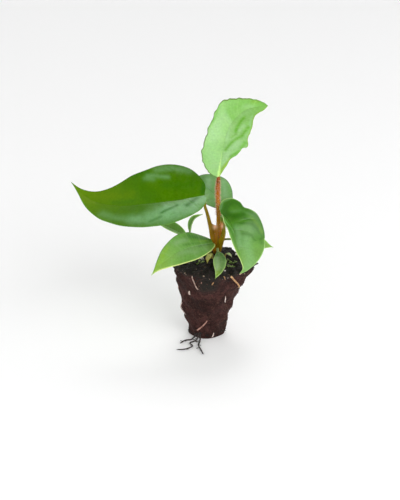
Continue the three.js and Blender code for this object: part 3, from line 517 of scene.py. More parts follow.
# The soil plug, in millimetres. Its side flares from the foot to the rim, with rounded corners,
# and leans to the right. Its top is a mound round the crown of the stem.
PLUG_HEIGHT = 45
PLUG_FOOT_RADIUS = 9.9
PLUG_RIM_RADIUS = 22.2
PLUG_DEPTH_RATIO = 0.95
PLUG_FLARE = 1.35
PLUG_LEAN = 4.2
PLUG_TURN = math.radians(40)
PLUG_SQUARENESS = 2.6
MOUND_HEIGHT = 3.4
MOUND_RADIUS = 8
RIM_DROP = 1.1  # how far the top sinks over the outer RIM_SHARE of its radius
RIM_SHARE = 0.12
RIM_TOP = 1.2  # the side of the fine skin ends this far below the top
FIRM_FOOT = 6  # lumps fade out below this height
CROWN = (5.9, 5.6)
# Lumps of the side: height, number round the plug, turn with height, phase. Ripples of the top:
# height, how fast they run along x and y, phase.
SOIL_LUMPS = ((0.55, 3, 0.19, 1.1), (0.45, 5, -0.31, 2.3), (0.35, 9, 0.52, 0), (0.3, 2, 0.83, 0))
SOIL_RIPPLES = ((0.35, 0.9, 0.4, 0), (0.3, 0.5, -0.95, 1))

# Roots on the side of the plug: finish, node, and (degrees, height, millimetres proud, radius).
SURFACE_ROOTS = {
    "straw_root": ("straw root", "root_straw", (
        (-66, 44.2, -2.2, 0.5), (-63.5, 43.4, 0.2, 0.56), (-52, 39.8, 0.35, 0.56),
        (-37, 35.2, 0.35, 0.5), (-29, 32.6, 0.2, 0.4), (-27.5, 31.8, -1.6, 0.35),
    )),
    "pale_root": ("pale root", "root_pale", (
        (-124, 44, -2, 0.3), (-123, 42.6, 0.15, 0.34), (-119, 39.4, 0.3, 0.34),
        (-112, 35.6, 0.2, 0.3), (-110, 34.8, -1.4, 0.25),
    )),
    "low_root": ("pink root", "root_low", (
        (-90, 12.9, -1.6, 0.3), (-91, 11.9, 0.2, 0.34), (-103, 8.5, 0.3, 0.42),
        (-116, 5.8, 0.25, 0.5), (-119, 5.5, -1.3, 0.4),
    )),
}

# Wiry roots that leave the foot and lie on the ground: (x, y, z) points.
TRAILING_ROOTS = (
    (
        (-2.5, -6, 5), (-4.5, -10.6, 3.2), (-6, -13.6, 0.8), (-9.5, -17, 0.7), (-8.2, -21.5, 0.7),
        (-12.5, -25.5, 0.7), (-17.5, -26, 0.7),
    ),
    (
        (-2.5, -6, 5), (-3.6, -11.2, 3), (-3.8, -14.6, 0.8), (-4.6, -20, 0.7), (-3.2, -26.5, 0.7),
        (-1.8, -32.5, 0.7),
    ),
    ((-2.5, -6, 5), (-5.8, -9.8, 2.8), (-8.6, -12.2, 0.8), (-12, -13.4, 0.7), (-15.5, -17.5, 0.7)),
)
TRAILING_RADIUS = 0.5
TRAILING_TAPER = 0.0288  # how much thinner a trailing root is at each of its points
TRAILING_STEPS = 40
HAIR_STARTS = (14, 20, 26, 33)  # the steps of a trailing root at which hairs leave it
HAIR_RADIUS = 0.17
HAIR_SEED = 5

# Small fibres and root ends that show in the soil: finish, then route as for the roots.
SOIL_STRANDS = (
    ("white root", ((-131, 32, 0.1, 0.3), (-130, 30.9, 0.5, 0.55), (-129, 29.6, 0.1, 0.3))),
    ("white root", (
        (-56, 28.9, -0.3, 0.2), (-56.6, 27.2, 0.5, 0.27), (-54.5, 25, 0.6, 0.27),
        (-48, 23.6, 0.4, 0.2),
    )),
    ("white root", ((-65, 3.4, -0.3, 0.25), (-68, 2.2, 0.35, 0.33), (-72, 0.9, 0.25, 0.22))),
    ("straw root", ((-76, 44.4, -0.3, 0.3), (-74, 43.6, 0.4, 0.35), (-71, 41.6, 0.1, 0.22))),
    ("straw root", ((-88.5, 41, 0, 0.2), (-89.5, 39.8, 0.4, 0.3), (-90.5, 38.6, 0.1, 0.18))),
    ("pink root", ((-105.8, 42.6, -0.2, 0.2), (-106.4, 40.8, 0.2, 0.28), (-107.5, 38.8, 0, 0.2))),
    ("pink root", ((-52, 43.9, 0, 0.2), (-45.8, 43.4, 0.3, 0.3), (-39, 43.6, 0, 0.2))),
    ("straw root", (
        (22, 40, 0, 0.25), (28, 34, 0.4, 0.4), (31, 25, 0.3, 0.35), (27, 19, -0.4, 0.25),
    )),
    ("pale root", (
        (95, 38, -0.4, 0.25), (99, 31, 0.4, 0.4), (92, 24, 0.3, 0.4), (95, 17, -0.4, 0.25),
    )),
    ("pink root", (
        (150, 36, -0.4, 0.25), (158, 32, 0.4, 0.35), (163, 25, 0.3, 0.35), (159, 20, -0.4, 0.2),
    )),
    ("white root", ((-170, 21, -0.3, 0.2), (-172, 17, 0.35, 0.3), (-166, 12, 0, 0.2))),
    ("dark root", (
        (-4, 42.5, -0.8, 0.35), (-4, 43.6, 0.9, 0.35), (-3, 44.2, 2, 0.5), (-3, 44, 2.6, 0.4),
    )),
)

# Scraps of moss on the top: (x, y), and how many shoots. Bits of perlite: (x, y), and radius.
MOSS_PATCHES = (
    ((-3.8, -4), 10), ((12.6, -2.6), 12), ((15.2, -3.4), 9), ((14.2, -9.4), 9), ((3, 15), 6),
)
PERLITE = (((-2.9, 1.6), 1.45), ((10.5, -15.2), 0.5), ((-9.5, 6), 0.8), ((17.5, 8), 0.9))

# The studio: how bright its surround, ceiling and window are, and where they lie in the sky
SURROUND = 1.36
CEILING = 0.03
SKY_BRIGHT_BELOW = math.radians(32)
SKY_DARK_ABOVE = math.radians(56)
WINDOW_LIGHT = 4
WINDOW_TURN = math.radians(2)
WINDOW_RISE = math.radians(53)
WINDOW_CORE = math.radians(7)
WINDOW_EDGE = math.radians(18)
# Lamps: name, place, width in metres, watts.
LAMPS = (("key", (0.6, -1.1, 0.95), 0.9, 9), ("side", (1.3, -0.4, 0.5), 0.6, 3))
LAMP_TARGET = (0, 0, 0.06)
# The point in the middle of the picture, the focal length and the sensor, in millimetres.
CAMERA_TARGET = (-3.77, 0, 52.11)
CAMERA_LENS = 111.7
SENSOR_WIDTH = 36


# Sizes and colours that a user would change

def colour_property(name, description, default):
    return FloatVectorProperty(
        name=name, description=description, default=default, size=3, min=0, max=1, subtype="COLOR"
    )


def length_property(name, description, millimetres):
    return FloatProperty(
        name=name, description=description, default=millimetres * MM, min=0, unit="LENGTH"
    )


def number_property(name, description, default, **more):
    return FloatProperty(name=name, description=description, default=default, min=0, **more)


def leaf_colour(name, leaf, paint):
    return colour_property(name, f"Main colour of the {leaf} leaf", LEAF_PAINTS[paint]["body"])


class LeafSettings(bpy.types.PropertyGroup):
    thickness: length_property("Blade thickness", "Thickness of a large blade", 0.5)
    relief: number_property(
        "Vein relief", "How strongly the blade bulges between its side veins", 1, max=2,
        subtype="FACTOR",
    )
    top_colour: leaf_colour("Tall leaf", "tall", "lime")
    left_colour: leaf_colour("Left leaf", "long left", "deep")
    right_colour: leaf_colour("Right leaf", "right", "mid")


class StalkSettings(bpy.types.PropertyGroup):
    bristle_length: length_property("Bristle length", "Length of the longest bristles", 1.2)
    bristle_width: length_property("Bristle width", "Thickness of a bristle at its foot", 0.13)
    bristle_density: number_property("Bristle density", "Bristles on each square millimetre", 4.2)
    bristle_colour: colour_property("Bristles", "Colour of the bristles", linear(226, 188, 164))


class SoilSettings(bpy.types.PropertyGroup):
    dry_colour: colour_property("Dry soil", "Colour of the side of the plug", SOIL_DRY)
    wet_colour: colour_property("Wet soil", "Colour of the damp top of the plug", SOIL_WET)
    crumb_size: length_property("Crumb size", "Radius of the largest loose crumbs", 0.85)
    crumb_density: number_property(
        "Crumb density", "Crumbs on each square millimetre of the top", 0.8
    )
    seed: IntProperty(
        name="Seed", description="Changes where crumbs and fibres lie", default=7, min=0
    )


class StageSettings(bpy.types.PropertyGroup):
    floor_size: length_property("Floor size", "Width of the square floor", 6000)
    floor_colour: colour_property("Floor", "Colour of the pale floor", (0.96, 0.96, 0.96))
    camera_distance: length_property("Camera distance", "From the camera to the plant", 900)
    camera_height: number_property(
        "Camera height", "Angle of the camera above the horizon", math.radians(22), subtype="ANGLE"
    )


# Curves and stations

def smooth_curve(points, steps):
    """Evenly spaced points on a centripetal Catmull-Rom curve, and its length."""
    known = np.array(points, float)
    known = np.vstack([2 * known[0] - known[1], known, 2 * known[-1] - known[-2]])
    s = np.linspace(0, 1, CURVE_STEPS, endpoint=False)[:, None]
    dense = []
    for before, start, end, after in zip(known, known[1:], known[2:], known[3:]):
        steps_between = ((before, start), (start, end), (end, after))
        in_gap, gap, out_gap = (max(np.linalg.norm(b - a) ** 0.5, 1e-4) for a, b in steps_between)
        leave = (start - before) / in_gap - (end - before) / (in_gap + gap) + (end - start) / gap
        arrive = (end - start) / gap - (after - start) / (gap + out_gap) + (after - end) / out_gap
        dense.append(
            start * (2 * s**3 - 3 * s**2 + 1) + leave * gap * (s**3 - 2 * s**2 + s)
            + end * (3 * s**2 - 2 * s**3) + arrive * gap * (s**3 - s**2)
        )
    dense = np.vstack([*dense, known[-2]])
    strides = np.linalg.norm(np.diff(dense, axis=0), axis=1)
    travelled = np.concatenate([[0], np.cumsum(strides)])
    even = np.linspace(0, travelled[-1], steps + 1)
    return np.stack([np.interp(even, travelled, column) for column in dense.T], 1), travelled[-1]


def at_share(values, share, ease=lambda part: part):
    """Rows of evenly spaced values, read at shares from 0 to 1."""
    values = np.asarray(values, float)
    if len(values) == 1:
        return np.broadcast_to(values[0], (*share.shape, values.shape[1]))
    place = np.clip(share, 0, 1) * (len(values) - 1)
    low = np.minimum(place.astype(int), len(values) - 2)
    part = ease((place - low)[..., None])
    return values[low] * (1 - part) + values[low + 1] * part


def smooth_step(value):
    return value * value * (3 - 2 * value)


def hill(value, power=2):
    """1 at 0, and falls to nothing on both sides."""
    return np.exp(-(value**power))


def ramp(value):
    return np.clip(value, 0, 1)


def unit(vectors):
    return vectors / np.maximum(np.linalg.norm(vectors, axis=-1, keepdims=True), 1e-12)


def dot(a, b):
    return (a * b).sum(-1, keepdims=True)


def both(value):
    """A value for each half of a blade, where its table has one for the two."""
    return value if isinstance(value, tuple) else (value, value)


def soften(rows):
    """Averages each row with its neighbours, the nearer the more, and keeps unit length."""
    ends = np.pad(rows, ((FRAME_REACH, FRAME_REACH), (0, 0)), mode="edge")
    weights = FRAME_REACH + 1 - np.abs(np.arange(-FRAME_REACH, FRAME_REACH + 1))
    return unit(sum(weight * ends[i:i + len(rows)] for i, weight in enumerate(weights)))


def noise_at(points, size, seed=0):
    """Soft noise from -1 to 1 at (x, y, z) rows in millimetres, for lumps of about that size."""
    shift = Vector((seed * 17.3, seed * 5.1, seed * 9.7))
    values = [noise.noise(Vector(p) + shift) for p in points.reshape(-1, 3) / size]
    return np.array(values).reshape(points.shape[:-1])


def with_poles(grid, low, high):
    """The values of a grid of points in one row, then those of the two poles."""
    return np.concatenate([grid.ravel(), [low, high]])


# Shapes: points in millimetres, faces, one number a point for each named value, and the
# number of the material of each face.

class Shape:
    def __init__(self, points, faces, values=None, slot=0, uv=None):
        self.points = np.asarray(points, float).reshape(-1, 3)
        self.faces = [tuple(int(i) for i in face) for face in faces]
        self.values = values or {}
        self.slots = [slot] * len(self.faces)
        self.uv = np.zeros((len(self.points), 2)) if uv is None else uv
        self.turn_out()

    def turn_out(self):
        """Turns all faces round if they enclose a negative volume."""
        corners = [(*face[:3], face[-1]) for face in self.faces]
        a, b, c, d = np.swapaxes(self.points[corners], 0, 1)
        if (a * (np.cross(b, c) + np.cross(c, d))).sum() < 0:
            self.faces = [face[::-1] for face in self.faces]

    def join(self, *others):
        """Takes in other shapes. A value that one of them lacks is 0 there."""
        for other in others:
            pair, shift = (self, other), len(self.points)
            self.values = {
                name: np.concatenate([s.values.get(name, np.zeros(len(s.points))) for s in pair])
                for name in {**self.values, **other.values}
            }
            self.points = np.vstack([s.points for s in pair])
            self.uv = np.vstack([s.uv for s in pair])
            self.faces += [tuple(i + shift for i in face) for face in other.faces]
            self.slots += other.slots
        return self


def place_in_scene(name, data):
    obj = bpy.data.objects.new(name, data)
    bpy.context.scene.collection.objects.link(obj)
    return obj


def store(mesh, label, numbers):
    mesh.attributes.new(label, "FLOAT", "POINT").data.foreach_set("value", numbers)


def make_object(name, shape, *materials):
    mesh = bpy.data.meshes.new(name)
    mesh.from_pydata((shape.points * MM).tolist(), [], shape.faces)
    for material in materials:
        mesh.materials.append(material)
    mesh.polygons.foreach_set("material_index", shape.slots)
    mesh.polygons.foreach_set("use_smooth", [True] * len(mesh.polygons))
    for label, numbers in shape.values.items():
        store(mesh, label, numbers)
    corners = np.zeros(len(mesh.loops), int)
    mesh.loops.foreach_get("vertex_index", corners)
    mesh.uv_layers.new(name="UVMap").data.foreach_set("uv", shape.uv[corners].ravel())
    mesh.update()
    return place_in_scene(name, mesh)


def real_copy(obj, name):
    """The object's evaluated mesh as a plain object, which takes the place of the first."""
    graph = bpy.context.evaluated_depsgraph_get()
    mesh = bpy.data.meshes.new_from_object(obj.evaluated_get(graph), depsgraph=graph)
    bpy.data.objects.remove(obj)
    mesh.name = name
    return place_in_scene(name, mesh)


def declare(obj, slot, *nodes):
    """Hides the CAD nodes that the piece stands for, and attaches it to what it moves with."""
    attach(obj, BODY)
    if nodes:
        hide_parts(*nodes)


def ring_faces(rings, sides):
    """Faces of rings of points, closed by a pole before the first and one after the last. The
    poles are the last two points."""
    grid = np.arange(rings * sides).reshape(rings, sides)
    after = np.roll(grid, -1, axis=1)
    faces = np.stack([grid[:-1], after[:-1], after[1:], grid[1:]], -1).reshape(-1, 4).tolist()
    faces += [(rings * sides, b, a) for a, b in zip(grid[0], after[0])]
    return faces + [(rings * sides + 1, a, b) for a, b in zip(grid[-1], after[-1])]


def tube(stations, sides=16, steps=60, slot=0):
    """A closed, tapering tube through (x, y, z, radius) stations, with rounded ends."""
    line, _ = smooth_curve(stations, steps)
    path, radius = line[:, :3], line[:, 3]
    along = unit(np.gradient(path, axis=0))
    across = np.zeros_like(path)
    turned = np.cross(along[0], (0.3, 1, 0.2))
    across[0] = turned / np.linalg.norm(turned)
    for i in range(1, len(path)):
        turned = across[i - 1] - along[i] * np.dot(across[i - 1], along[i])
        across[i] = turned / np.linalg.norm(turned)
    third = np.cross(along, across)
    # Two more rings at each end round it off.
    order = [0, 0, *range(steps + 1), steps, steps]
    reach = np.array([-0.9, -0.5, *[0] * (steps + 1), 0.5, 0.9])
    width = np.array([0.42, 0.86, *[1] * (steps + 1), 0.86, 0.42])
    angle = np.linspace(0, FULL_TURN, sides, endpoint=False)
    ring = path[order] + along[order] * (reach * radius[order])[:, None]
    size = (width * radius[order])[:, None, None]
    around = across[order][:, None] * np.cos(angle)[:, None]
    around = around + third[order][:, None] * np.sin(angle)[:, None]
    points = (ring[:, None] + around * size).reshape(-1, 3)
    ends = [path[0] - along[0] * radius[0], path[-1] + along[-1] * radius[-1]]
    share = np.repeat(ramp(np.linspace(-2, steps + 2, len(order)) / steps), sides)
    uv = np.stack([np.tile(angle / FULL_TURN, len(order)), share], 1)
    faces, values = ring_faces(len(order), sides), {"along": with_poles(share, 0, 1)}
    uv = np.vstack([uv, [[0.5, 0], [0.5, 1]]])
    return Shape(np.vstack([points, ends]), faces, values, slot, uv)


# Leaf blades

class Blade:
    """A blade on a curved midrib, read at (t, v): side vein t from base to tip, and v from -1 at
    the left margin over 0 at the midrib to 1 at the right margin."""

    def __init__(self, leaf, marks):
        self.leaf = {**LEAF_DEFAULTS, **leaf}
        self.strokes = marks
        self.rib, self.length = smooth_curve(leaf["rib"], RIB_STEPS)
        self.half, self.arch = (both(self.leaf[key]) for key in ("half", "arch"))
        self.edges = []
        for name in both(leaf["outline"]):
            edge, _ = smooth_curve([(x, y / 2) for x, y in OUTLINES[name]], OUTLINE_STEPS)
            self.edges.append(edge * (1, 2))
        share = np.linspace(0, 1, FRAME_STEPS + 1)
        self.tangents = soften(at_share(unit(np.gradient(self.rib, axis=0)), share))
        self.normals = soften(unit(at_share(leaf["face"], share, smooth_step)))

    def flat(self, t, v):
        """Share of the length and signed millimetres from the midrib, and to the margin."""
        x, y, rim = (np.zeros(t.shape) for _ in range(3))
        for side, sign in ((0, -1), (1, 1)):
            here = v * sign > 0 if side else v * sign >= 0
            edge = at_share(self.edges[side], t[here])
            along_rib = (1 - VEIN_SPREAD) * t[here] ** VEIN_SWEEP + VEIN_SPREAD * t[here]
            away = np.abs(v[here])
            depth, count = self.leaf["scallop"][side]
            swing = FULL_TURN * count * t[here]
            nicks = np.sin(swing) + 0.6 * np.sin(1.7 * swing + 1)
            width = edge[:, 1] * self.half[side] + depth * nicks * np.sin(math.pi * t[here])
            x[here] = along_rib + (edge[:, 0] - along_rib) * away**VEIN_BEND
            y[here] = sign * width * away
            rim[here] = width * (1 - away)
        return x, y, rim

    def frames(self, x):
        """Centre, normal and left direction at shares of the length."""
        share = ramp(x)
        tangent = unit(at_share(self.tangents, share))
        centre = at_share(self.rib, share) + tangent * (np.minimum(x, 0) * self.length)[..., None]
        face = at_share(self.normals, share)
        normal = unit(face - tangent * dot(face, tangent))
        return centre, normal, np.cross(normal, tangent)

    def surface(self, x, y):
        """The middle surface at shares of the length and signed distances."""
        share, away, side = ramp(x), np.abs(y), (y > 0).astype(int)
        centre, normal, left = self.frames(x)
        width = np.array(self.half)[side]
        fold = at_share(self.leaf["fold"], share)
        fold = np.take_along_axis(fold, side[..., None], -1)[..., 0]
        angle = np.radians(fold - np.array(self.arch)[side] * away / width / 2)
        reach = np.sqrt(away**2 + SOFT_FOLD**2) - SOFT_FOLD
        height, count = self.leaf["wave"]
        swing = np.sin(FULL_TURN * count * x + np.array(WAVE_PHASES)[side])
        ripple = height * (away / width) ** 2 * swing * np.sin(math.pi * (0.08 + 0.9 * share))
        out = np.where(side == 1, -reach, reach) * np.cos(angle)
        rise = reach * np.sin(angle) + ripple
        return centre + left * out[..., None] + normal * rise[..., None]

    def relief(self, t, v, x, y, rim, strength):
        """How far the blade bulges between its side veins, dips at its midrib and rolls."""
        flat = self.lie_flat(x, y)
        bulge = np.array(both(self.leaf["bulge"]))[(y > 0).astype(int)] * strength
        bulge = bulge * (1 + 0.7 * noise_at(flat, 7, 4))
        between = np.abs(np.sin(math.pi * self.vein_number(t, v))) ** 0.7
        across = np.sin(math.pi * ramp(np.abs(v)) ** 0.8)
        ends = np.sin(math.pi * ramp(0.06 + 0.9 * t))
        groove = -self.leaf["groove"] * hill(y / 0.45) * (1 - ramp(x))
        roll = 0.35 * noise_at(flat, 9, 1) * min(1, self.half[0] / 12)
        roll = roll + 0.05 * noise_at(flat, 2.2, 2)
        return bulge * between * across * ends + groove * ends + roll * ramp(rim / 2) * ends

    def lie_flat(self, x, y):
        return np.stack([x * self.length, y, np.full_like(x, len(self.leaf["rib"]))], -1)

    def vein_number(self, t, v):
        """Whole on each side vein. The veins of some leaves sweep further to the tip."""
        return self.leaf["veins"] * (t - self.leaf["sweep"] * np.abs(v) ** VEIN_BEND)

    def marks(self, kind, x, y):
        """How strongly the marks of one kind cover each point, from 0 to 1."""
        place = self.lie_flat(x, y)
        wander = 0.28 * noise_at(place, 2.5, 6) + 0.1 * noise_at(place, 0.8, 7)
        clear = np.ones(x.shape)
        for width, strength, line in self.strokes.get(kind, ()):
            line = np.array(line) * (self.length, 1)
            same_half = ramp(0.5 + y * np.sign(line[:, 1].sum()) / 0.7)
            cover = np.zeros(x.shape)
            for first, last in zip(line, line[1:]):
                off, way = place[..., :2] - first, last - first
                share = ramp((off @ way) / (way @ way))
                gap = np.linalg.norm(off - share[..., None] * way, axis=-1) / width + wander
                cover = np.maximum(cover, np.exp(-0.75 * np.maximum(gap, 0) ** 2))
            clear *= 1 - strength * cover * same_half
        return 1 - clear

    def shape(self, thickness, strength):
        """Closed blade whose upper and lower faces meet in a rounded margin."""
        rows, columns = self.leaf["grid"]
        evenly = np.linspace(0, 1, rows + 1)
        t_row = evenly - 0.06 * np.sin(FULL_TURN * evenly) / FULL_TURN
        half_row = 0.97 * np.linspace(0, 1, columns + 1)[1:-1] ** 1.15
        half_row = np.concatenate([half_row, [0.975, 0.99, 1]])
        v_row = np.concatenate([-half_row[::-1], [0], half_row])
        t, v = (grid.copy() for grid in np.meshgrid(t_row, v_row, indexing="ij"))
        x, y, rim = self.flat(t, v)
        middle = self.surface(x, y)
        normal = unit(np.cross(np.gradient(middle, axis=0), np.gradient(middle, axis=1)))
        if dot(normal, self.frames(x)[1]).mean() < 0:
            normal = -normal
        middle = middle + normal * self.relief(t, v, x, y, rim, strength)[..., None]
        edge = ramp(np.minimum(rim, np.minimum(t, 1 - t) * self.length * 0.6) / 0.25)
        body = thickness / 2 * (1 - 0.35 * np.abs(v) ** 2) * np.sqrt(1 - (1 - edge) ** 2)
        ridge = self.leaf["ridge"] * (1 - ramp(x)) ** 0.8 * hill(y / 0.65) * edge
        values = {"rib": np.abs(y), "rim": rim, "vein": self.vein_number(t, v)}
        values.update((kind, self.marks(kind, x, y)) for kind in MARK_KINDS)
        upper = middle + normal * body[..., None]
        lower = middle - normal * (body + ridge)[..., None]
        return self.close(upper, lower, values, np.stack([0.5 + 0.5 * v, t], -1))

    def close(self, upper, lower, values, uv):
        """Joins the two sides, which share the points of the margin."""
        rows, columns = uv.shape[:2]
        number = np.arange(rows * columns).reshape(rows, columns)
        inner = np.zeros((rows, columns), bool)
        inner[1:-1, 1:-1] = True
        below = number.copy()
        below[inner] = rows * columns + np.arange(inner.sum())
        faces = []
        for grid, turn in ((number, 1), (below, -1)):
            quads = np.stack([grid[:-1, :-1], grid[:-1, 1:], grid[1:, 1:], grid[1:, :-1]], -1)
            faces += quads.reshape(-1, 4)[:, ::turn].tolist()
        values = {name: np.concatenate([v.ravel(), v[inner]]) for name, v in values.items()}
        values["upper"] = np.concatenate([np.ones(rows * columns), np.zeros(inner.sum())])
        points = np.vstack([upper.reshape(-1, 3), lower[inner]])
        return Shape(points, faces, values, 0, np.vstack([uv.reshape(-1, 2), uv[inner]]))


# Node trees

class Nodes:
    """Adds nodes to a tree and links them. An input is a socket, or a plain value."""

    def __init__(self, tree):
        self.tree = tree

    def add(self, kind, inputs=None, **settings):
        node = self.tree.nodes.new(kind)
        for name, value in settings.items():
            setattr(node, name, value)
        for key, value in (inputs or {}).items():
            self.feed(node.inputs[key], value)
        return node

    def get(self, kind, inputs=None, output=0, **settings):
        return self.add(kind, inputs, **settings).outputs[output]

    def feed(self, socket, value):
        if isinstance(value, bpy.types.NodeSocket):
            self.tree.links.new(value, socket)
        elif socket.type == "RGBA" and len(value) == 3:
            socket.default_value = (*value, 1)
        else:
            socket.default_value = value

    def math(self, operation, a, b=0):
        return self.get("ShaderNodeMath", {0: a, 1: b}, operation=operation)

    def times(self, a, b):
        return self.math("MULTIPLY", a, b)

    def vector(self, x=0, y=0, z=0):
        return self.get("ShaderNodeCombineXYZ", {0: x, 1: y, 2: z})

    def scaled(self, vector, size):
        return self.get("ShaderNodeVectorMath", {0: vector, "Scale": size}, operation="SCALE")

    def mix(self, share, a, b):
        return self.get("ShaderNodeMix", {0: share, 6: a, 7: b}, 2, data_type="RGBA")

    def attribute(self, name, output="Fac"):
        return self.get("ShaderNodeAttribute", output=output, attribute_name=name)

    def fade(self, value, low, high, to_low=0, to_high=1):
        """Maps low..high to to_low..to_high, smoothly and held at the ends."""
        inputs = {0: value, 1: low, 2: high, 3: to_low, 4: to_high}
        return self.get("ShaderNodeMapRange", inputs, interpolation_type="SMOOTHSTEP")

    def noise(self, place, scale, detail=4, roughness=0.55, output=0):
        inputs = {"Vector": place, "Scale": scale, "Detail": detail, "Roughness": roughness}
        return self.get("ShaderNodeTexNoise", inputs, output)

    def cells(self, place, scale, **settings):
        return self.get("ShaderNodeTexVoronoi", {"Vector": place, "Scale": scale}, **settings)

    def stretched(self, place, *scale):
        return self.get("ShaderNodeMapping", {0: place, "Scale": scale})

    def bump(self, height, distance, strength, normal=None):
        inputs = {"Height": height, "Distance": distance, "Strength": strength}
        return self.get("ShaderNodeBump", {**inputs, "Normal": normal} if normal else inputs)


class Finish(Nodes):
    """A material with a Principled shader that reads Object coordinates."""

    def __init__(self, name):
        self.material = bpy.data.materials.new(name)
        self.material.use_nodes = True
        super().__init__(self.material.node_tree)
        self.shader = self.tree.nodes["Principled BSDF"]
        self.place = self.get("ShaderNodeTexCoord", output="Object")

    def set(self, colour, rough, gloss=0.5, normal=None, glow=None):
        """Feeds the shader. Glow is the share, colour reach and depth of light let in."""
        inputs = {"Base Color": colour, "Roughness": rough, "Specular IOR Level": gloss}
        if normal:
            inputs["Normal"] = normal
        if glow:
            inputs.update(zip(("Subsurface Weight", "Subsurface Radius", "Subsurface Scale"), glow))
        for name, value in inputs.items():
            self.feed(self.shader.inputs[name], value)
        return self.material


def leaf_finish(name, paint):
    f = Finish(name)
    uv = f.get("ShaderNodeUVMap", uv_map="UVMap")
    across, along = f.add("ShaderNodeSeparateXYZ", {0: uv}).outputs[:2]
    patches = f.fade(f.noise(f.place, 70, 3), 0.36, 0.66, 0, 0.6)
    colour = f.mix(patches, paint["body"], paint["light"])
    colour = f.mix(f.fade(along, 0.5, 1, 0, 0.85), colour, paint["tip"])
    # Marks: painted sheen, which is painted highlights and reflections; deep marks, partly dark
    # veins and partly painted shade; and warm tints.
    for kind in MARK_KINDS:
        colour = f.mix(f.attribute(kind), colour, paint[kind])
    # Distance from the nearest side vein and fine vein, where the spacing of each is 1.
    phase = f.attribute("vein")
    off, off_fine = (
        f.math("ABSOLUTE", f.math("SUBTRACT", f.math("FRACT", place), 0.5))
        for place in (f.math("ADD", phase, 0.5), f.times(phase, 5))
    )
    vein = f.math(
        "MAXIMUM", f.fade(off, 0.015, 0.07, paint["veins"], 0),
        f.fade(off_fine, 0.05, 0.3, paint["veins"] * 0.35, 0),
    )
    colour = f.mix(vein, colour, paint["vein"])
    # The midrib is pale; on the lime leaf its wide pale band is partly a painted highlight.
    rib_side = f.fade(along, 0, paint["pale_rib"], paint["rib_width"], 0.3)
    rib = f.fade(f.math("DIVIDE", f.attribute("rib"), rib_side), 0.3, 1, 0.8, 0)
    colour = f.mix(f.times(rib, f.fade(along, 0, paint["pale_rib"], 1, 0)), colour, paint["rib"])
    margin = f.mix(f.fade(across, 0.48, 0.52), paint["left_margin"], paint["right_margin"])
    edge = f.fade(f.attribute("rim"), 0.2, paint["margin_width"], 0.9, 0)
    edge = f.times(edge, f.fade(along, 0.84, 1, 1, 0.35))
    colour = f.mix(f.times(edge, f.math("SUBTRACT", 1, f.attribute("deep"))), colour, margin)
    colour = f.mix(f.fade(f.attribute("upper"), 0.3, 0.7, 0.8, 0), colour, paint["under"])
    speckle = f.fade(f.noise(f.place, 900, 3), 0.3, 0.7, 0.93, 1.07)
    colour = f.mix(1, colour, f.vector(speckle, speckle, speckle))
    colour.node.blend_type = "MULTIPLY"
    cells = f.cells(f.place, 2600, output="Distance")
    grain = f.math("ADD", f.times(cells, 0.4), f.noise(f.place, 1300, 3))
    normal = f.bump(f.fade(off, 0, 0.12), 0.00006, 0.6, f.bump(grain, 0.00002, 0.5))
    low, high = paint["rough"] - 0.05, paint["rough"] + 0.08
    rough = f.fade(f.noise(f.place, 240, 3), 0.3, 0.7, low, high)
    rough = f.math("ADD", rough, f.fade(along, 0.4, 0.7, 0, 0.3))
    return f.set(colour, rough, paint["gloss"], normal, (paint["glow"], (0.4, 1, 0.2), 0.0008))


def stalk_finish(name, low, high):
    """Small leaf stalks: one colour at the soil, another at the blade, finely streaked."""
    f = Finish(name)
    streaks = f.noise(f.stretched(f.place, 900, 900, 90), 1, 3)
    colour = f.mix(f.fade(f.attribute("along"), 0.2, 0.9), low, high)
    colour = f.mix(f.fade(streaks, 0.35, 0.7, 0, 0.35), colour, darker(low, 0.45))
    normal = f.bump(streaks, 0.00005, 0.6)
    return f.set(colour, 0.45, normal=normal, glow=(0.25, (1, 0.8, 0.3), 0.0006))


def main_stalk_finish():
    """The large stalks are coloured by the tint that their mesh carries."""
    f = Finish("bristly stalk")
    streaks = f.noise(f.stretched(f.place, 1100, 1100, 120), 1)
    blotches = f.noise(f.place, 420, 3)
    # Streaks and blotches keep clear of pale: the pale skin in the forks and the painted highlight.
    stained = f.math("SUBTRACT", 1, f.attribute("pale"))
    dark = f.times(f.fade(streaks, 0.4, 0.72, 0, 0.45), stained)
    gold = f.times(f.fade(blotches, 0.5, 0.75, 0, 0.3), stained)
    colour = f.mix(dark, f.attribute("tint", "Color"), linear(92, 52, 8))
    colour = f.mix(gold, colour, linear(178, 140, 24))
    rough, normal = f.fade(streaks, 0.3, 0.7, 0.34, 0.5), f.bump(streaks, 0.00008, 0.8)
    return f.set(colour, rough, 0.18, normal, (0.3, (1, 0.6, 0.25), 0.0007))


def mottled_finish(name, colour, dark, rough, scale=700):
    f = Finish(name)
    grain = f.noise(f.place, scale, 5)
    colour = f.mix(f.fade(grain, 0.38, 0.66), dark, colour)
    return f.set(colour, rough, normal=f.bump(grain, 0.0001, 0.7))


def plain_finish(name):
    colour, dark, *rest = PLAIN_LOOKS[name]
    return mottled_finish(name, linear(*colour), linear(*dark), *rest)


